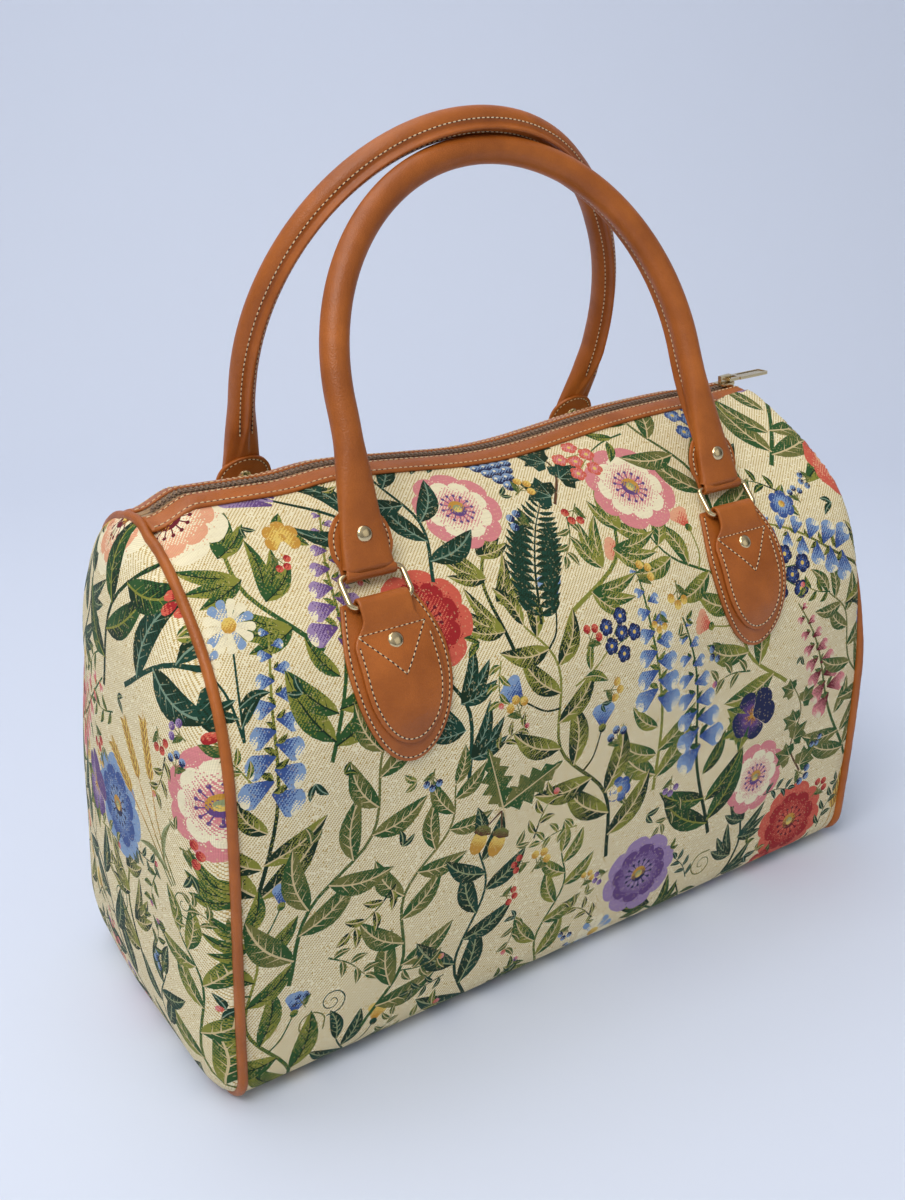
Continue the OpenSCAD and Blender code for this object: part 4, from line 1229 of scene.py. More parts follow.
def cut_cloth(name, shapes, outline, keep_box, step, sample, columns=(), seeds=()):
    """Cuts a flat outline into the woven fields, tile by tile, and lays it on the body."""
    low, high = keep_box
    tiles = [max(1, int(round((high[k] - low[k]) / TILE))) for k in (0, 1)]
    edges = [np.linspace(low[k], high[k], tiles[k] + 1) for k in (0, 1)]
    flats, corner_lists, tops = [], [], []
    total = 0
    for i in range(tiles[0]):
        for j in range(tiles[1]):
            a = np.array([edges[0][i], edges[1][j]])
            b = np.array([edges[0][i + 1], edges[1][j + 1]])
            part, tris, top = cut_tile(shapes, a, b, step, outline, columns, seeds)
            if len(tris):
                flats.append(part)
                corner_lists.append(tris + total)
                tops.append(top)
                total += len(part)
    flat = np.concatenate(flats)
    corners = np.concatenate(corner_lists)
    top = np.concatenate(tops)
    # Tiles meet in the same points, which become one
    _, first_use, same = np.unique(np.round(flat, 2), axis=0, return_index=True, return_inverse=True)
    corners = same.ravel()[corners]
    flat = flat[first_use]
    a, b, c = corners.T
    whole = (a != b) & (b != c) & (a != c)
    corners, top = corners[whole], top[whole]
    used, corners = np.unique(corners, return_inverse=True)
    corners = corners.reshape(-1, 3)
    flat = flat[used]
    inks = [shape[1:] for shape in shapes] + [(INK["ivory"], INK["gold"], np.zeros(2), np.ones(2))]
    points, normals = sample(flat[:, 0], flat[:, 1])
    root, one, two = (points[corners[:, k]] for k in range(3))
    side = np.cross(one - root, two - root)
    wrong = np.einsum("ij,ij->i", side, normals[corners[:, 0]]) < 0
    corners[wrong] = corners[wrong][:, ::-1]
    obj = make_object(name, points, corners, TAPESTRY)
    mesh = obj.data
    first = np.array([i[0] for i in inks])[top]
    last = np.array([i[1] for i in inks])[top]
    origin = np.array([i[2] for i in inks])[top]
    line = np.array([i[3] for i in inks])[top] - origin
    span = np.maximum(np.einsum("ij,ij->i", line, line), 1e-6)
    at = flat[corners]
    t = np.einsum("ijk,ik->ij", at - origin[:, None, :], line) / span[:, None]
    t = np.clip(t, 0, 1)
    t[top < 0] = GROUND_BLEND
    for tag, ink in (("Field", first), ("Fade", last)):
        rgba = np.concatenate([np.repeat(ink, 3, axis=0), t.reshape(-1, 1)], axis=1)
        layer = mesh.color_attributes.new(tag, "FLOAT_COLOR", "CORNER")
        layer.data.foreach_set("color", rgba.astype(np.float32).ravel())
    cut = mesh.uv_layers.new(name="Cut")
    cut.data.foreach_set("uv", (at.reshape(-1, 2) * MM).astype(np.float32).ravel())
    baked = mesh.uv_layers.new(name="OFBake")
    uv = (at.reshape(-1, 2) - low) / (high - low) * 0.98 + 0.01
    baked.data.foreach_set("uv", uv.astype(np.float32).ravel())
    mesh.normals_split_custom_set_from_vertices([tuple(n) for n in normals])
    return obj


# Seeds of the three paintings, and distances of the close columns of points from the end seams
WRAP_SEED = 11
END_SEEDS = {-1: 23, 1: 37}
ROLL_COLUMNS = (0.7, 1.5, 2.5, 3.8, 5.5, 7.6)
HANDS = {-1: "left", 1: "right"}


def make_wrap():
    half = WRAP.length / 2
    shapes = paint(2 * HALF_LENGTH, WRAP.length, WRAP_SEED, lambda s: math.pi if s < half else 0.0)
    edge = WRAP.half_run - (BASE_HALF - BASE_EDGE_R) - 8
    cuts = {"front_cloth": (0.0, edge), "base_cloth": (edge, WRAP.length - edge),
            "rear_cloth": (WRAP.length - edge, WRAP.length)}
    rolls = [side * (HALF_LENGTH - d) for side in (-1, 1) for d in ROLL_COLUMNS]
    for name, (s0, s1) in cuts.items():
        box = (np.array([-HALF_LENGTH, s0]), np.array([HALF_LENGTH, s1]))
        obj = cut_cloth(name, shapes, None, box, 4.0, WRAP.sample, columns=rolls)
        settle(obj, "bag", "tapestry", "main_panel")


def end_depth(y, z, rim):
    """Outward dome of the end panel over its seam plane, from the distance to the seam."""
    rel = np.stack([np.asarray(y), np.asarray(z)], axis=1) - END_MIDDLE
    angle = np.arctan2(rel[:, 1], rel[:, 0])
    reach = rim - END_MIDDLE
    rim_angle = np.arctan2(reach[:, 1], reach[:, 0])
    order = np.argsort(rim_angle)
    lengths = np.linalg.norm(reach, axis=1)[order]
    radius = np.interp(angle, rim_angle[order], lengths, period=2 * math.pi)
    t = np.clip(np.linalg.norm(rel, axis=1) / radius, 0, 1)
    fold = 0.9 * np.sin(rel[:, 0] / 21 + rel[:, 1] / 33) * np.sin(rel[:, 1] / 27 + 0.8)
    return END_BULGE * np.sqrt(1 - t ** 4) + fold * (1 - t ** 6) - 0.6


def make_end(side):
    """End panel, cut in y and z of the bag. On the left y is mirrored, as it is seen from outside."""
    name = f"{HANDS[side]}_end_panel"
    rim = SEAMS[side][0] * [side, 1]
    shapes = paint(2 * BELLY_HALF + 8, END_TOP + 4, END_SEEDS[side], lambda s: 0.0)
    def sample(y, z):
        def place(yy, zz):
            x = seam_x(side, side * yy, zz) + end_depth(yy, zz, rim)
            return np.stack([side * x, side * yy, zz], axis=1)
        p = place(y, z)
        e = 0.8
        n = np.cross(place(y + e, z) - place(y - e, z), place(y, z + e) - place(y, z - e))
        n *= np.sign(n[:, :1]) * side
        return p, unit(n)
    box = (rim.min(axis=0), rim.max(axis=0))
    seeds = np.concatenate([END_MIDDLE + (rim[::2] - END_MIDDLE) * t for t in (0.99, 0.975, 0.95)])
    outline = [tuple(p) for p in rim[::2 * side]]
    obj = cut_cloth(name + "_cloth", shapes, outline, box, 3.6, sample, seeds=seeds)
    settle(obj, "bag", "tapestry", name)


def make_lining_wrap():
    """Thin inner sheet that follows the main cloth."""
    keep = np.flatnonzero(np.abs(WRAP.u) < 1 - 4 / HALF_LENGTH)[::3]
    rows = np.arange(2, WRAP.points.shape[1] - 2, 5)
    outer, inner = ((WRAP.points - depth * WRAP.normals)[keep][:, rows] for depth in LINING_DEPTHS)
    rings = [np.concatenate([outer[:, j], inner[::-1, j]]) for j in range(len(rows))]
    obj = loft("lining_wrap_sheet", rings, LINING)
    settle(obj, "bag", "lining", "lining_wrap")


def make_lining_end(side):
    """Thin inner sheet that follows the end panel."""
    hand = HANDS[side]
    rim = SEAMS[side][0] * [side, 1]
    def face(t, depth):
        p = END_MIDDLE + (rim[::3] - END_MIDDLE) * t
        x = seam_x(side, side * p[:, 0], p[:, 1]) + end_depth(p[:, 0], p[:, 1], rim) - depth
        return np.stack([side * x, side * p[:, 0], p[:, 1]], axis=1)
    shares = (0.1, 0.3, 0.5, 0.7, 0.84, 0.93, 0.975)
    outer, inner = LINING_DEPTHS
    rings = [face(t, outer) for t in shares] + [face(t, inner) for t in shares[::-1]]
    obj = loft(f"{hand}_lining_sheet", rings, LINING)
    settle(obj, "bag", "lining", f"{hand}_lining_end")


def make_piping(side):
    name = f"{HANDS[side]}_piping"
    path, normals = SEAMS[side]
    rings = []
    for j, p in enumerate(path):
        r = PIPING_R * (1 + 0.02 * math.sin(j * 0.9) + 0.015 * math.sin(j * 2.3 + 1))
        a = circle(18)
        yz = p + np.outer(r * np.cos(a), normals[j])
        x = float(seam_x(side, p[0], p[1])) + r * np.sin(a)
        rings.append(np.stack([side * x, yz[:, 0], yz[:, 1]], axis=1))
    settle(loft(name + "_cover", rings, LEATHER, closed_rows=True), "bag", "tan_leather", name)


# Sewing thread

def stitch_row(points, normals, length=2.2, gap=0.9, thick=0.34, lift=0.05, shift=0.0):
    """Short raised stitches along a line of points with surface normals. Returns points and faces."""
    points = np.asarray(points, float)
    normals = np.asarray(normals, float)
    run = run_along(points)
    count = max(1, int(round(run[-1] / (length + gap))))
    pitch = run[-1] / count
    chunks = []
    ring = 6
    def at(s, table):
        return np.array([np.interp(s, run, table[:, k]) for k in range(3)])
    # Place along the stitch, thickness and rise
    stations = ((0.0, 0.25, -0.35), (0.14, 0.8, 0.0), (0.5, 1.0, 0.12), (0.86, 0.8, 0.0), (1.0, 0.25, -0.35))
    for i in range(count):
        s0 = (i + shift) * pitch + gap / 2
        s1 = (i + 1 + shift) * pitch - gap / 2
        rows = []
        for t, scale, up in stations:
            s = s0 + (s1 - s0) * t
            p, n = at(s, points), at(s, normals)
            n /= np.linalg.norm(n)
            d = at(min(s + 0.4, run[-1]), points) - at(max(s - 0.4, 0), points)
            d /= np.linalg.norm(d) + 1e-9
            w = np.cross(d, n)
            w /= np.linalg.norm(w) + 1e-9
            a = circle(ring)
            around = np.outer(np.cos(a), w) + np.outer(np.sin(a), n)
            rows.append(p + n * (lift + up * thick) + thick * scale * around)
        faces = ring_faces(len(rows), ring) + end_caps(len(rows), ring)
        chunks.append((np.concatenate(rows), faces))
    return join_points(chunks)


def sew(name, rows, body, length=2.1, gap=1.1, thick=0.34, sunk=0.26):
    """Thread along the rows, with a dark capsule between each two stitches, sunk by a depth, as painted shade in
    the needle hole.
    """
    thread = [stitch_row(p, n, length, gap, thick) for p, n in rows]
    # Dark capsules between the stitches paint the shade inside each needle hole
    hole_shades = [stitch_row(p, n, gap * 1.15, length - gap * 0.15, thick * 1.2, -sunk, 0.5) for p, n in rows]
    for tag, chunks, mat in (("", thread, THREAD), ("_holes", hole_shades, NEEDLE_HOLE_SHADE)):
        settle(joined(name + tag, chunks, mat), body, "tan_leather")


# Zip

def zip_point(x, d, h):
    """Points on the plain run at x, d out to the front and h above the tape."""
    x = np.asarray(x, float)
    a = np.arcsin(np.clip(x / ZIP_RADIUS, -1, 1))
    r = ZIP_RADIUS - h
    return np.stack([r * np.sin(a), -d + 0 * x, ZIP_AXIS_Z - r * np.cos(a)], axis=1)


def soft_zip_points(xs, d, h, flip):
    """Points on the soft run, turned about for the rear side."""
    p = zip_point(xs, d, h)
    p[:, 2] += zip_drift(flip * xs)
    return p * [flip, flip, 1]


def zip_strip(name, profile, count, reach, material, flip, slot, node):
    xs = np.linspace(-reach, reach, count)
    lines = [soft_zip_points(xs, d, h, flip) for d, h in profile(xs)]
    settle(loft(name, np.swapaxes(np.array(lines), 0, 1), material), "bag", slot, node)


def facing_profile(xs):
    """Folded strip with a soft crown between its two rows of stitches."""
    width = FACING_OUT - FACING_IN
    top = []
    for t in np.linspace(0, 1, 15):
        d = FACING_IN + width * t
        crown = 0.42 * math.sin(math.pi * min(max((t - 0.16) / 0.68, 0), 1)) ** 0.8
        edge = -0.55 * (1 - min(1, min(t, 1 - t) / 0.07)) ** 2
        wave = 0.16 * np.sin(xs / 6.7 + 5 * t) * math.sin(math.pi * t)
        top.append((d + 0 * xs, facing_level(d) + FACING_T + crown - 0.2 + edge + wave))
    bottom = [(d + 0 * xs, facing_level(d) + 0.02 + 0 * xs) for d in (FACING_OUT - 0.2, FACING_IN + 0.2)]
    return top + bottom


def tape_profile(xs):
    top = [(0.5, -0.05), (2.0, 0.0), (TAPE_FLAT, 0.0), (9.0, facing_level(9.0)), (12.8, facing_level(12.8))]
    bottom = [(12.8, facing_level(12.8) - 0.7), (TAPE_FLAT, -0.7), (0.5, -0.7)]
    return [(d + 0 * xs, h + 0 * xs) for d, h in top + bottom]


def make_zip():
    for side, flip in (("front", 1), ("rear", -1)):
        zip_strip(f"{side}_facing", facing_profile, 240, FACING_HALF_LENGTH + 2.0, LEATHER, flip, "tan_leather",
                  f"{side}_zip_facing")
        zip_strip(f"{side}_tape", tape_profile, 200, FACING_HALF_LENGTH + 1.5, TAPE, flip, "zip_tape",
                  f"{side}_zip_tape")
        rows = []
        xs = np.linspace(-FACING_HALF_LENGTH - 1, FACING_HALF_LENGTH + 1, 400)
        for t in (0.15, 0.86):
            d = FACING_IN + (FACING_OUT - FACING_IN) * t
            p = soft_zip_points(xs, d, facing_level(d) + FACING_T - 0.16, flip)
            rows.append((p, np.tile([0, -flip * 0.24, 0.97], (len(xs), 1))))
        sew(f"{side}_facing_thread", rows, "bag")
        make_coil(side, flip)


# Distance between the turns of one side of the coil, and radius of its wire
COIL_PITCH = 2.9
COIL_WIRE_R = 0.46


def make_coil(side, flip):
    """One side of the coil: turns that cross the middle and nest between those of the other side."""
    reach = FACING_HALF_LENGTH - 2
    turns = int((2 * reach - 4) // COIL_PITCH)
    a = np.linspace(-0.25 * math.pi, 1.25 * math.pi, 9)
    chunks = []
    for i in range(turns):
        x = (i - (turns - 1) / 2) * COIL_PITCH - COIL_PITCH / 4
        across = 2.9 - 4.0 * (np.sin(a) * 0.5 + 0.5)
        path = np.stack([x + 0.35 * np.cos(a), across, 0.85 + 0.62 * np.cos(a)], axis=1)
        rows = []
        for k, q in enumerate(path):
            p = zip_point(q[:1], q[1], q[2])[0]
            p[2] += float(zip_drift(flip * p[0]))
            d = path[min(k + 1, len(path) - 1)] - path[max(k - 1, 0)]
            d = unit(np.array([d[0], -d[1], d[2]]))
            w = unit(RIGHT - d[0] * d)
            v = np.cross(d, w)
            b = circle(6)
            around = np.outer(np.cos(b), w) + np.outer(np.sin(b), v)
            rows.append((p + COIL_WIRE_R * around) * [flip, flip, 1])
        chunks.append((np.concatenate(rows), ring_faces(len(rows), 6)))
    settle(joined(f"{side}_coil", chunks, DARK_THREAD), "bag", "zip_coil", f"{side}_zip_coil")
    xs = np.linspace(-reach, reach, 400)
    p = soft_zip_points(xs, 3.0, 1.1, flip)
    chunk = stitch_row(p, np.tile([0, 0, 1.0], (len(xs), 1)), length=1.9, gap=0.5, thick=0.34)
    settle(joined(f"{side}_coil_thread", [chunk], DARK_THREAD), "bag", "zip_coil")


# Leather straps and tabs

def strap(name, stations, thickness, material, edge=0.55, across=21):
    """Thick strip. A station is a middle point, outward normal, sideways unit vector, half width and crown."""
    rings = []
    for middle, normal, side, half, crown in stations:
        t = np.sin(np.linspace(-math.pi / 2, math.pi / 2, across))
        soft = np.minimum(1.0, (1 - np.abs(t)) * half / max(edge * 1.6, 1e-6))
        lift = thickness / 2 - edge * (1 - np.sqrt(1 - np.square(1 - soft))) + crown * (1 - np.square(t))
        top = middle + np.outer(t * half, side) + np.outer(lift, normal)
        low_half = max(half - edge * 0.3, 0.01)
        under = middle + np.outer(t[::-1] * low_half, side) - np.outer(thickness / 2 + 0 * t, normal)
        rings.append(np.concatenate([top, under]))
    return loft(name, rings, material)


def shoulder_point(angle, radius):
    return np.array([0.0, -(SHOULDER_Y + radius * math.cos(angle)), BELLY_HEIGHT + radius * math.sin(angle)])


def shoulder_normal(angle):
    return np.array([0.0, -math.cos(angle), math.sin(angle)])


def angle_of(v, radius):
    return TAB_ANGLE + math.asin(max(-1, min(1, v / radius)))


# Half width of a tab's base and of its strap, where they are widest
BASE_WIDE = 27.5
STRAP_WIDE = 21.5


def tab_base_half(v):
    """Half width of the base at a distance up from the tab's middle."""
    if v < 8:
        return BASE_WIDE * math.sqrt(max(0.0, 1 - ((8 - v) / 48.0) ** 2))
    return BASE_WIDE - 7.5 * (1 - math.cos(math.pi / 2 * (v - 8) / 32.0))


def strap_half(v):
    """Half width of the strap, which narrows to its loop."""
    if v < 2:
        return STRAP_WIDE * math.sqrt(max(0.0, 1 - ((2 - v) / 33.0) ** 2))
    if v < 18:
        return STRAP_WIDE
    if v < 32:
        return STRAP_WIDE + (LOOP_W / 2 - STRAP_WIDE) * (1 - math.cos(math.pi * (v - 18) / 14.0)) / 2
    return LOOP_W / 2


def strap_crown(x, v):
    """Height of the padded strap over its plain sheet."""
    rise = 1.9 * float(ramp(v, -31, 14)) * (1 - float(ramp(v, 6, 18)))
    return rise * max(0.0, 1 - (x / max(strap_half(v), 0.3)) ** 2)


def rounded_levels(low, high, count):
    """Levels from a rounded lower end to a straight upper end, closer together at the lower end."""
    t = np.linspace(0, 1, count)
    return low + (high - low) * t ** 1.9


def outline_walk(half, levels, radius, crown=None):
    """Line that follows an outline inside its edge, down one side and up the other, with its normals."""
    levels = np.asarray(levels)
    edge = np.array([(half(v), v) for v in levels])
    path = np.concatenate([edge[::-1], (edge * [-1, 1])[1:]])
    d = np.gradient(path, axis=0)
    d /= np.linalg.norm(d, axis=1, keepdims=True) + 1e-9
    inner = path + np.stack([d[:, 1], -d[:, 0]], axis=1) * STITCH_INSET
    points, normals = [], []
    for x, v in inner:
        a = angle_of(v, radius)
        lift = LEATHER_T + (crown(x, v) if crown else 0.0)
        points.append(shoulder_point(a, radius + lift) + [x, 0, 0])
        normals.append(shoulder_normal(a))
    return np.array(points), np.array(normals)


def make_tab(side, hand):
    """One tab: its base, the strap folded round the ring bar, and thread."""
    about = ABOUT if side == "rear" else ABOUT ** 2
    shift = about * RIGHT * (TAB_X if hand == "right" else -TAB_X)
    tag = f"{side}_{hand}"
    def put(stations):
        return [((middle + shift) * about, normal * about, *rest) for middle, normal, *rest in stations]
    radius = TAB_BASE_IN + LEATHER_T / 2
    stations = []
    for v in rounded_levels(-39.95, 40.0, 60):
        a = angle_of(v, radius)
        stations.append((shoulder_point(a, radius), shoulder_normal(a), RIGHT, max(tab_base_half(v), 0.3), 0.0))
    for form, sheet in (("base", stations), ("strap", strap_stations())):
        leather = strap(f"{tag}_tab_{form}_leather", put(sheet), LEATHER_T, LEATHER)
        settle(leather, "bag", "tan_leather", f"{tag}_tab_{form}")
    rows = [outline_walk(tab_base_half, rounded_levels(-39.9, 38.0, 80), TAB_BASE_IN),
            outline_walk(strap_half, rounded_levels(-30.9, 19.0, 70), STRAP_IN, strap_crown)]
    left, right, tip = (-18.6, 24.6), (18.6, 24.6), (0.0, 2.0)
    for start, end in ((left, right), (left, tip), (tip, right)):
        line = np.linspace(start, end, 30)
        angles = [angle_of(v, STRAP_IN + LEATHER_T) for v in line[:, 1]]
        p = np.array([shoulder_point(g, STRAP_IN + LEATHER_T + strap_crown(u, v)) + [u, 0, 0]
                      for g, (u, v) in zip(angles, line)])
        rows.append((p, np.array([shoulder_normal(g) for g in angles])))
    placed = [((p + shift) * about, n * about) for p, n in rows]
    sew(f"{tag}_tab_thread", placed, "bag", length=1.7, gap=1.15, sunk=0.06)


def strap_stations():
    """Strap from its rounded tip up the shoulder, over the ring bar and back under itself."""
    radius = STRAP_IN + LEATHER_T / 2
    stations = []
    for v in rounded_levels(-30.95, 24.0, 46):
        a = angle_of(v, radius)
        half = max(strap_half(v), 0.3)
        stations.append((shoulder_point(a, radius), shoulder_normal(a), RIGHT, half, strap_crown(0, v)))
    bar = np.array([0.0, -BAR_Y, BAR_Z])
    loop = BORE_R + LEATHER_T / 2
    start_mid, start_n = stations[-1][0], stations[-1][1]
    out = shoulder_normal(RING_ANGLE)
    up = np.array([0.0, math.sin(RING_ANGLE), math.cos(RING_ANGLE)])
    first = bar + loop * (0.985 * out - 0.17 * up)
    for t in np.linspace(0.12, 1, 10):
        k = ease(t)
        mid = start_mid * (1 - t) + first * t + out * 0.8 * math.sin(math.pi * t)
        n = start_n * (1 - k) + out * k
        v = 24.0 + 15.0 * t
        stations.append((mid, unit(n), RIGHT, strap_half(v), strap_crown(0, v)))
    for a in np.linspace(-0.1, math.pi + 0.35, 18):
        n = math.cos(a) * out + math.sin(a) * up
        mid = bar + loop * n + 1.1 * max(0.0, math.sin(a)) * up
        stations.append((mid, n, RIGHT, LOOP_W / 2 - 0.1, 0.0))
    return stations


def lathe_cap(radius, height, steps=28):
    """Domed rivet cap with a rolled rim, standing on z = 0."""
    profile = [(radius * 0.98, 0.0), (radius, 0.16), (radius * 0.99, 0.34), (radius * 0.93, 0.46)]
    for t in np.linspace(0.9, 0.0, 9):
        profile.append((radius * t, height - (height - 0.5) * t ** 2.4))
    a = circle(steps)
    points = [np.stack([r * np.cos(a), r * np.sin(a), z + 0 * a], axis=1) for r, z in profile]
    faces = ring_faces(len(profile), steps) + [tuple(range(steps))]
    return np.concatenate(points), faces


def turned(points, rotation, shift):
    return np.asarray(points) @ np.asarray(rotation).T + np.asarray(shift)


def frame_of(normal):
    """Rotation that takes +Z to the normal."""
    n = unit(np.asarray(normal))
    up = unit(np.cross(n, RIGHT))
    return np.stack([np.cross(up, n), up, n], axis=1)


def make_tab_rivets():
    chunks = []
    rivet_v = STRAP_IN * math.sin(TAB_RIVET_ANGLE - TAB_ANGLE)
    seat = STRAP_IN + LEATHER_T - 0.12 + strap_crown(0, rivet_v)
    points, faces = lathe_cap(RIVET_D / 2, RIVET_H)
    frame_turn = frame_of(shoulder_normal(TAB_RIVET_ANGLE))
    for about in (ABOUT ** 2, ABOUT):
        for x in (-TAB_X, TAB_X):
            p = turned(points, frame_turn, shoulder_point(TAB_RIVET_ANGLE, seat) + [x, 0, 0])
            chunks.append((p * about, faces))
    settle(joined("tab_rivet_caps", chunks, GOLD), "bag", "gold_metal", "tab_rivets")


def make_ring(side, hand):
    """Rounded rectangle of wire that stands on its lower bar in the tab's loop."""
    about = ABOUT if side == "rear" else ABOUT ** 2
    x = TAB_X if hand == "right" else -TAB_X
    corners = []
    w, h, r = RING_W / 2, RING_H, RING_CORNER
    for cx, cz, start in ((w - r, h - r, 0), (-w + r, h - r, 90), (-w + r, r, 180), (w - r, r, 270)):
        for k in range(13):
            a = math.radians(start + 90 * k / 12)
            corners.append((cx + r * math.cos(a), cz + r * math.sin(a)))
    path = resample(np.array(corners + corners[:1]), 120)[0][:-1]
    rings = []
    a = circle(16)
    c, s = math.cos(RING_ANGLE), math.sin(RING_ANGLE)
    for p, m in zip(path, loop_normals(path)):
        reach = WIRE_R * np.cos(a)
        q = np.stack([p[0] + reach * m[0], WIRE_R * np.sin(a), p[1] + reach * m[1]], axis=1)
        y = q[:, 1] * c + q[:, 2] * s
        z = -q[:, 1] * s + q[:, 2] * c
        q = np.stack([q[:, 0], y - BAR_Y, z + BAR_Z], axis=1)
        rings.append(q * about + [x, 0, 0])
    settle(loft(f"{side}_{hand}_ring_wire", rings, GOLD, closed_rows=True),
           f"{side}_ring_{hand[0]}", "gold_metal", f"{side}_{hand}_ring")


# Handles

# Bend of a soft leg to one side along its height, as shares of its sway
SWAY_HEIGHTS = (25.0, 45.0, 65.0, 100.0, 150.0, 185.0, 208.0)
SWAY_SHARES = (0.0, -0.6, -0.6, 0.1, 1.0, 1.0, 0.0)


def handle_place(side):
    """Function from the handle's own upright frame to the bag."""
    spec = HANDLES[side]
    lean = math.radians(spec["lean"])
    c, s = math.cos(lean), math.sin(lean)
    def put(points, direction=False):
        p = np.asarray(points, float)
        y = p[..., 1] * c + p[..., 2] * s
        z = -p[..., 1] * s + p[..., 2] * c
        out = np.stack([p[..., 0], y, z], axis=-1)
        if not direction:
            out = out + np.array([0.0, -UPPER_Y, UPPER_Z])
        return out * ABOUT if side == "rear" else out
    return put


def handle_path(rise, span):
    """Middle of the handle as x and height in its own frame, from the right foot to the left."""
    heights = np.linspace(3.0, HANDLE_LEG, 60, endpoint=False)
    leg = [(TAB_X + (span - TAB_X) * float(ease(h / HANDLE_LEG)), h) for h in heights]
    angles = np.linspace(0, math.pi, 130)
    arch = [(span * math.cos(a), HANDLE_LEG + (rise - HANDLE_LEG) * math.sin(a)) for a in angles]
    return np.array(leg + arch + [(-x, h) for x, h in leg[::-1]])


def handle_section(h, lip_turn, count=46):
    """Cross section as distance out and y: a soft pad at the feet, a roll with a stitched lip above."""
    k = float(ease((h - END_FLAT_H + 8) / (SOFT_ROUND_H - END_FLAT_H + 8)))
    half_w = (LOOP_W / 2 - 0.1 - 3.0 * h / END_FLAT_H * (1 - k)) * (1 - k) + HANDLE_R * k
    half_t = (END_HALF_T - 0.1) * (1 - k) + HANDLE_R * k
    power = 0.42 + 0.58 * k
    t = np.linspace(-1, 1, count, endpoint=False)
    off = math.pi * np.sign(t) * np.abs(t) ** 1.7
    a = lip_turn + off
    c, s = np.cos(a), np.sin(a)
    x = half_w * np.sign(c) * np.abs(c) ** power
    y = half_t * np.sign(s) * np.abs(s) ** power
    # The outer face of the pad is padded
    swell = 1 - np.abs(np.clip(x / half_w, -1, 1)) ** (2 + 6 * float(ease(1 - h / 14)))
    y = np.where(y < 0, y - 1.1 * (1 - k) * swell, y)
    groove = 0.3 * np.exp(-np.square((np.abs(off) - 0.3) / 0.14))
    ridge = HANDLE_LIP * np.exp(-np.square(off / 0.13) ** 2) - groove
    return x + k * ridge * c, y + k * ridge * s


def lip_turns(side, rows):
    """Turn of the lip along the handle, from the right foot to the left foot of its own frame."""
    t = np.linspace(0, 1, rows)
    return np.radians(90.0 + HANDLES[side]["twist"] * (1 - ease(t / 0.55)))


def make_handle(side):
    spec = HANDLES[side]
    put = handle_place(side)
    body = f"{side}_grip"
    path = handle_path(spec["rise"], spec["span"])
    bend = np.interp(path[:, 1], SWAY_HEIGHTS, SWAY_SHARES)
    path[:, 0] += spec["sway"] * bend * (path[:, 0] < 0)
    d = unit(np.gradient(path, axis=0))
    out = np.stack([d[:, 1], -d[:, 0]], axis=1)
    turns = lip_turns(side, len(path))
    rings = []
    for p, o, turn in zip(path, out, turns):
        x, y = handle_section(p[1], turn)
        rings.append(np.stack([p[0] + x * o[0], y, p[1] + x * o[1]], axis=1))
    # The outer face of each foot reaches down over its loop
    for end, at in ((rings[0], 0), (rings[-1], len(rings) + 1)):
        skirt = end.copy()
        skirt[:, 2] -= np.where(skirt[:, 1] < -1.8, 2.8, 0.0)
        rings.insert(at, skirt)
    rings = [put(ring) for ring in rings]
    settle(loft(f"{side}_handle_roll", rings, LEATHER), body, "tan_leather", f"{side}_handle")
    make_handle_seam(side, put, path, out, turns, body)
    for sign in (-1, 1):
        make_handle_foot(side, put, sign, body)
    make_handle_rivets(side, put, body)


def make_handle_seam(side, put, path, out, turns, body):
    """Stitch rows on both sides of the lip."""
    keep = path[:, 1] > END_ROUND_H - 4
    rows = []
    for shift in (-0.52, 0.52):
        a = turns[keep] + shift
        c, s = np.cos(a), np.sin(a)
        n = np.stack([c * out[keep][:, 0], s, c * out[keep][:, 1]], axis=1)
        middle = np.stack([path[keep][:, 0], 0 * c, path[keep][:, 1]], axis=1)
        rows.append((put(middle + (HANDLE_R - 0.05) * n), put(n, True)))
    sew(f"{side}_handle_thread", rows, body, length=1.8, gap=1.1)


# Height where the ear starts to round off
EAR_TOP = EAR_H - EAR_W / 2


def ear_half(h):
    """Half width of the ear below its rounded top."""
    return LOOP_W / 2 + (EAR_W - LOOP_W) / 2 * float(ramp(h, 2, 10))


def ear_lift(h):
    """Distance of the ear behind the handle's middle, more where the handle grows round."""
    return END_HALF_T + 0.1 + 4.6 * ramp(h, 22, 24)


def make_handle_foot(side, put, sign, body):
    """The strap that loops round the ring bar and comes back up inside as a rounded ear."""
    x = sign * TAB_X
    hand = "a" if sign < 0 else "b"
    loop = BORE_R + LEATHER_T / 2
    stations = []
    def add(middle, normal, half):
        n = unit(np.asarray(normal, float))
        stations.append((put(np.array([x, *middle])), put(n, True), put(RIGHT, True), half, 0.0))
    for h in np.linspace(10, 3, 8):
        add((-loop + 1.3, h), (0, -1, 0), LOOP_W / 2 - 0.9 - 0.2 * h)
    for a in np.linspace(math.radians(14), math.radians(-188), 28):
        y, z = -loop * math.cos(a), loop * math.sin(a)
        add((y, z), (0, -math.cos(a), math.sin(a)), LOOP_W / 2 - 0.1)
    rounded = EAR_TOP + (EAR_H - EAR_TOP) * np.sin(np.linspace(0.05, math.pi / 2, 18))
    for h in [*np.linspace(4, EAR_TOP, 12), *rounded]:
        half = ear_half(h)
        if h > EAR_TOP:
            half = EAR_W / 2 * math.sqrt(max(0.0, 1 - ((h - EAR_TOP) / (EAR_H - EAR_TOP)) ** 2))
        add((float(ear_lift(h)), h), (0, 1, -0.18 * float(ramp(h, 20, 10))), max(half, 0.25))
    settle(strap(f"{side}_handle_foot_{hand}", stations, LEATHER_T, LEATHER), body, "tan_leather")
    make_ear_thread(side, put, x, hand, body)


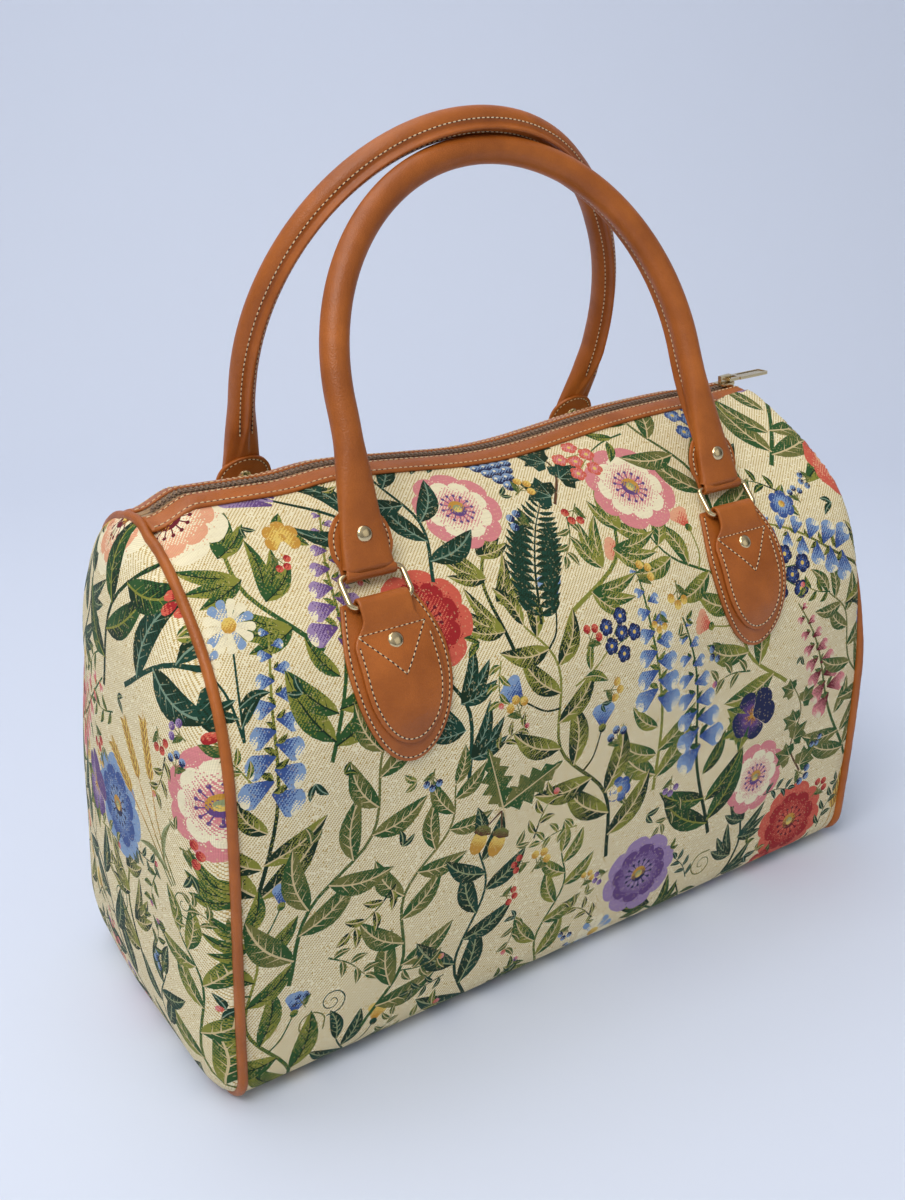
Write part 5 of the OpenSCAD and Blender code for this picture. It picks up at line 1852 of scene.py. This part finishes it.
def make_ear_thread(side, put, x, hand, body):
    line = [(ear_half(h) - STITCH_INSET, h) for h in np.linspace(8, EAR_TOP, 12)]
    radius = EAR_W / 2 - STITCH_INSET
    for a in np.linspace(0.1, math.pi / 2, 14):
        line.append((radius * math.cos(a), EAR_TOP + radius * math.sin(a)))
    line = np.array(line)
    line = np.concatenate([line, (line[::-1] * [-1, 1])[1:]])
    middle = ear_lift(line[:, 1])
    rows = []
    for face in (-1, 1):
        p = np.stack([x + line[:, 0], middle + face * LEATHER_T / 2, line[:, 1]], axis=1)
        rows.append((put(p), put(np.tile([0.0, face, 0.0], (len(p), 1)), True)))
    sew(f"{side}_handle_foot_thread_{hand}", rows, body, length=1.7, gap=1.1, sunk=0.14)


def make_handle_rivets(side, put, body):
    chunks = []
    points, faces = lathe_cap(RIVET_D / 2, RIVET_H)
    for sign in (-1, 1):
        for face, seat in ((-1, END_HALF_T + 0.75), (1, END_HALF_T + 0.95)):
            local = turned(points, frame_of([0, face, 0]), [sign * TAB_X, face * seat, HANDLE_RIVET_H])
            chunks.append((put(local), faces))
    settle(joined(f"{side}_handle_rivet_caps", chunks, GOLD), body, "gold_metal", f"{side}_handle_rivets")


# Floor and light

# Paper sweep: its turn in degrees, level of the floor, radius of its curve, half width, front edge and height
SWEEP_TURN = -33.0
FLOOR_Z = -0.2
SWEEP_R = 900.0
SWEEP_HALF = 6000.0
SWEEP_FRONT = -4000.0
SWEEP_HEIGHT = 5000.0


def make_stage():
    mat, _, bsdf = new_material("studio_paper")
    bsdf.inputs["Base Color"].default_value = (*srgb(214, 221, 236), 1.0)
    bsdf.inputs["Roughness"].default_value = 0.9
    bsdf.inputs["Specular IOR Level"].default_value = 0.1
    rows = []
    for x in (-SWEEP_HALF, SWEEP_HALF):
        profile = [(SWEEP_FRONT, FLOOR_Z), (SWEEP_R, FLOOR_Z)]
        for a in np.linspace(0, math.pi / 2, 24)[1:]:
            profile.append((SWEEP_R + SWEEP_R * math.sin(a), FLOOR_Z + SWEEP_R * (1 - math.cos(a))))
        profile.append((2 * SWEEP_R, SWEEP_HEIGHT))
        rows.append([(x, y, z) for y, z in profile])
    rows = np.array(rows)
    faces = ring_faces(2, rows.shape[1], closed_cols=False)
    floor = make_object("studio_sweep", rows.reshape(-1, 3), faces, mat)
    floor.data.transform(Matrix.Rotation(math.radians(SWEEP_TURN), 4, "Z"))
    fix_normals(floor)


def area_light(name, place, target, size, power, colour):
    data = bpy.data.lights.new(name, "AREA")
    data.shape = "RECTANGLE"
    data.size, data.size_y = size
    data.energy = power
    data.color = colour
    lamp = bpy.data.objects.new(name, data)
    bpy.context.scene.collection.objects.link(lamp)
    lamp.location = place
    aim = Vector(target) - Vector(place)
    lamp.rotation_euler = aim.to_track_quat("-Z", "Y").to_euler()


def make_light():
    world = bpy.data.worlds.new("studio")
    bpy.context.scene.world = world
    world.use_nodes = True
    back = world.node_tree.nodes["Background"]
    back.inputs["Color"].default_value = (0.93, 0.95, 1.0, 1.0)
    # The room is bright overhead and to the left, and dark low down to the right
    tree = world.node_tree
    way = add_node(tree, "ShaderNodeTexCoord").outputs["Generated"]
    facing = add_node(tree, "ShaderNodeVectorMath", operation="DOT_PRODUCT")
    tree.links.new(way, facing.inputs[0])
    facing.inputs[1].default_value = (-0.4, -0.15, 0.9)
    level = add_node(tree, "ShaderNodeMapRange")
    for key, value in (("From Min", -0.1), ("From Max", 0.9), ("To Min", 0.07), ("To Max", 0.56)):
        level.inputs[key].default_value = value
    tree.links.new(facing.outputs["Value"], level.inputs["Value"])
    tree.links.new(level.outputs["Result"], back.inputs["Strength"])
    area_light("key", (-1.2, -0.9, 2.0), (0, 0, 0.2), (1.2, 1.0), 29.0, (1.0, 0.98, 0.95))
    area_light("fill", (0.9, -1.9, 1.0), (0, 0, 0.2), (1.4, 1.4), 3.0, (1.0, 0.99, 0.97))
    area_light("top", (-0.4, 0.6, 2.2), (0, 0, 0.1), (1.6, 1.6), 17.0, (0.98, 0.99, 1.0))
    bpy.context.scene.view_settings.view_transform = "Standard"


def dress_cad():
    for node, mat in (("base_board", BOARD), ("zip_slider", GOLD), ("zip_pull", GOLD)):
        obj = frame["nodes"][node]
        obj.data.materials.clear()
        obj.data.materials.append(mat)


make_stage()
make_light()
dress_cad()
make_wrap()
make_lining_wrap()
for end_side in HANDS:
    make_end(end_side)
for end_side in HANDS:
    make_lining_end(end_side)
    make_piping(end_side)
make_zip()
for bag_side in ("front", "rear"):
    for bag_hand in ("left", "right"):
        make_tab(bag_side, bag_hand)
        make_ring(bag_side, bag_hand)
    make_handle(bag_side)
make_tab_rivets()
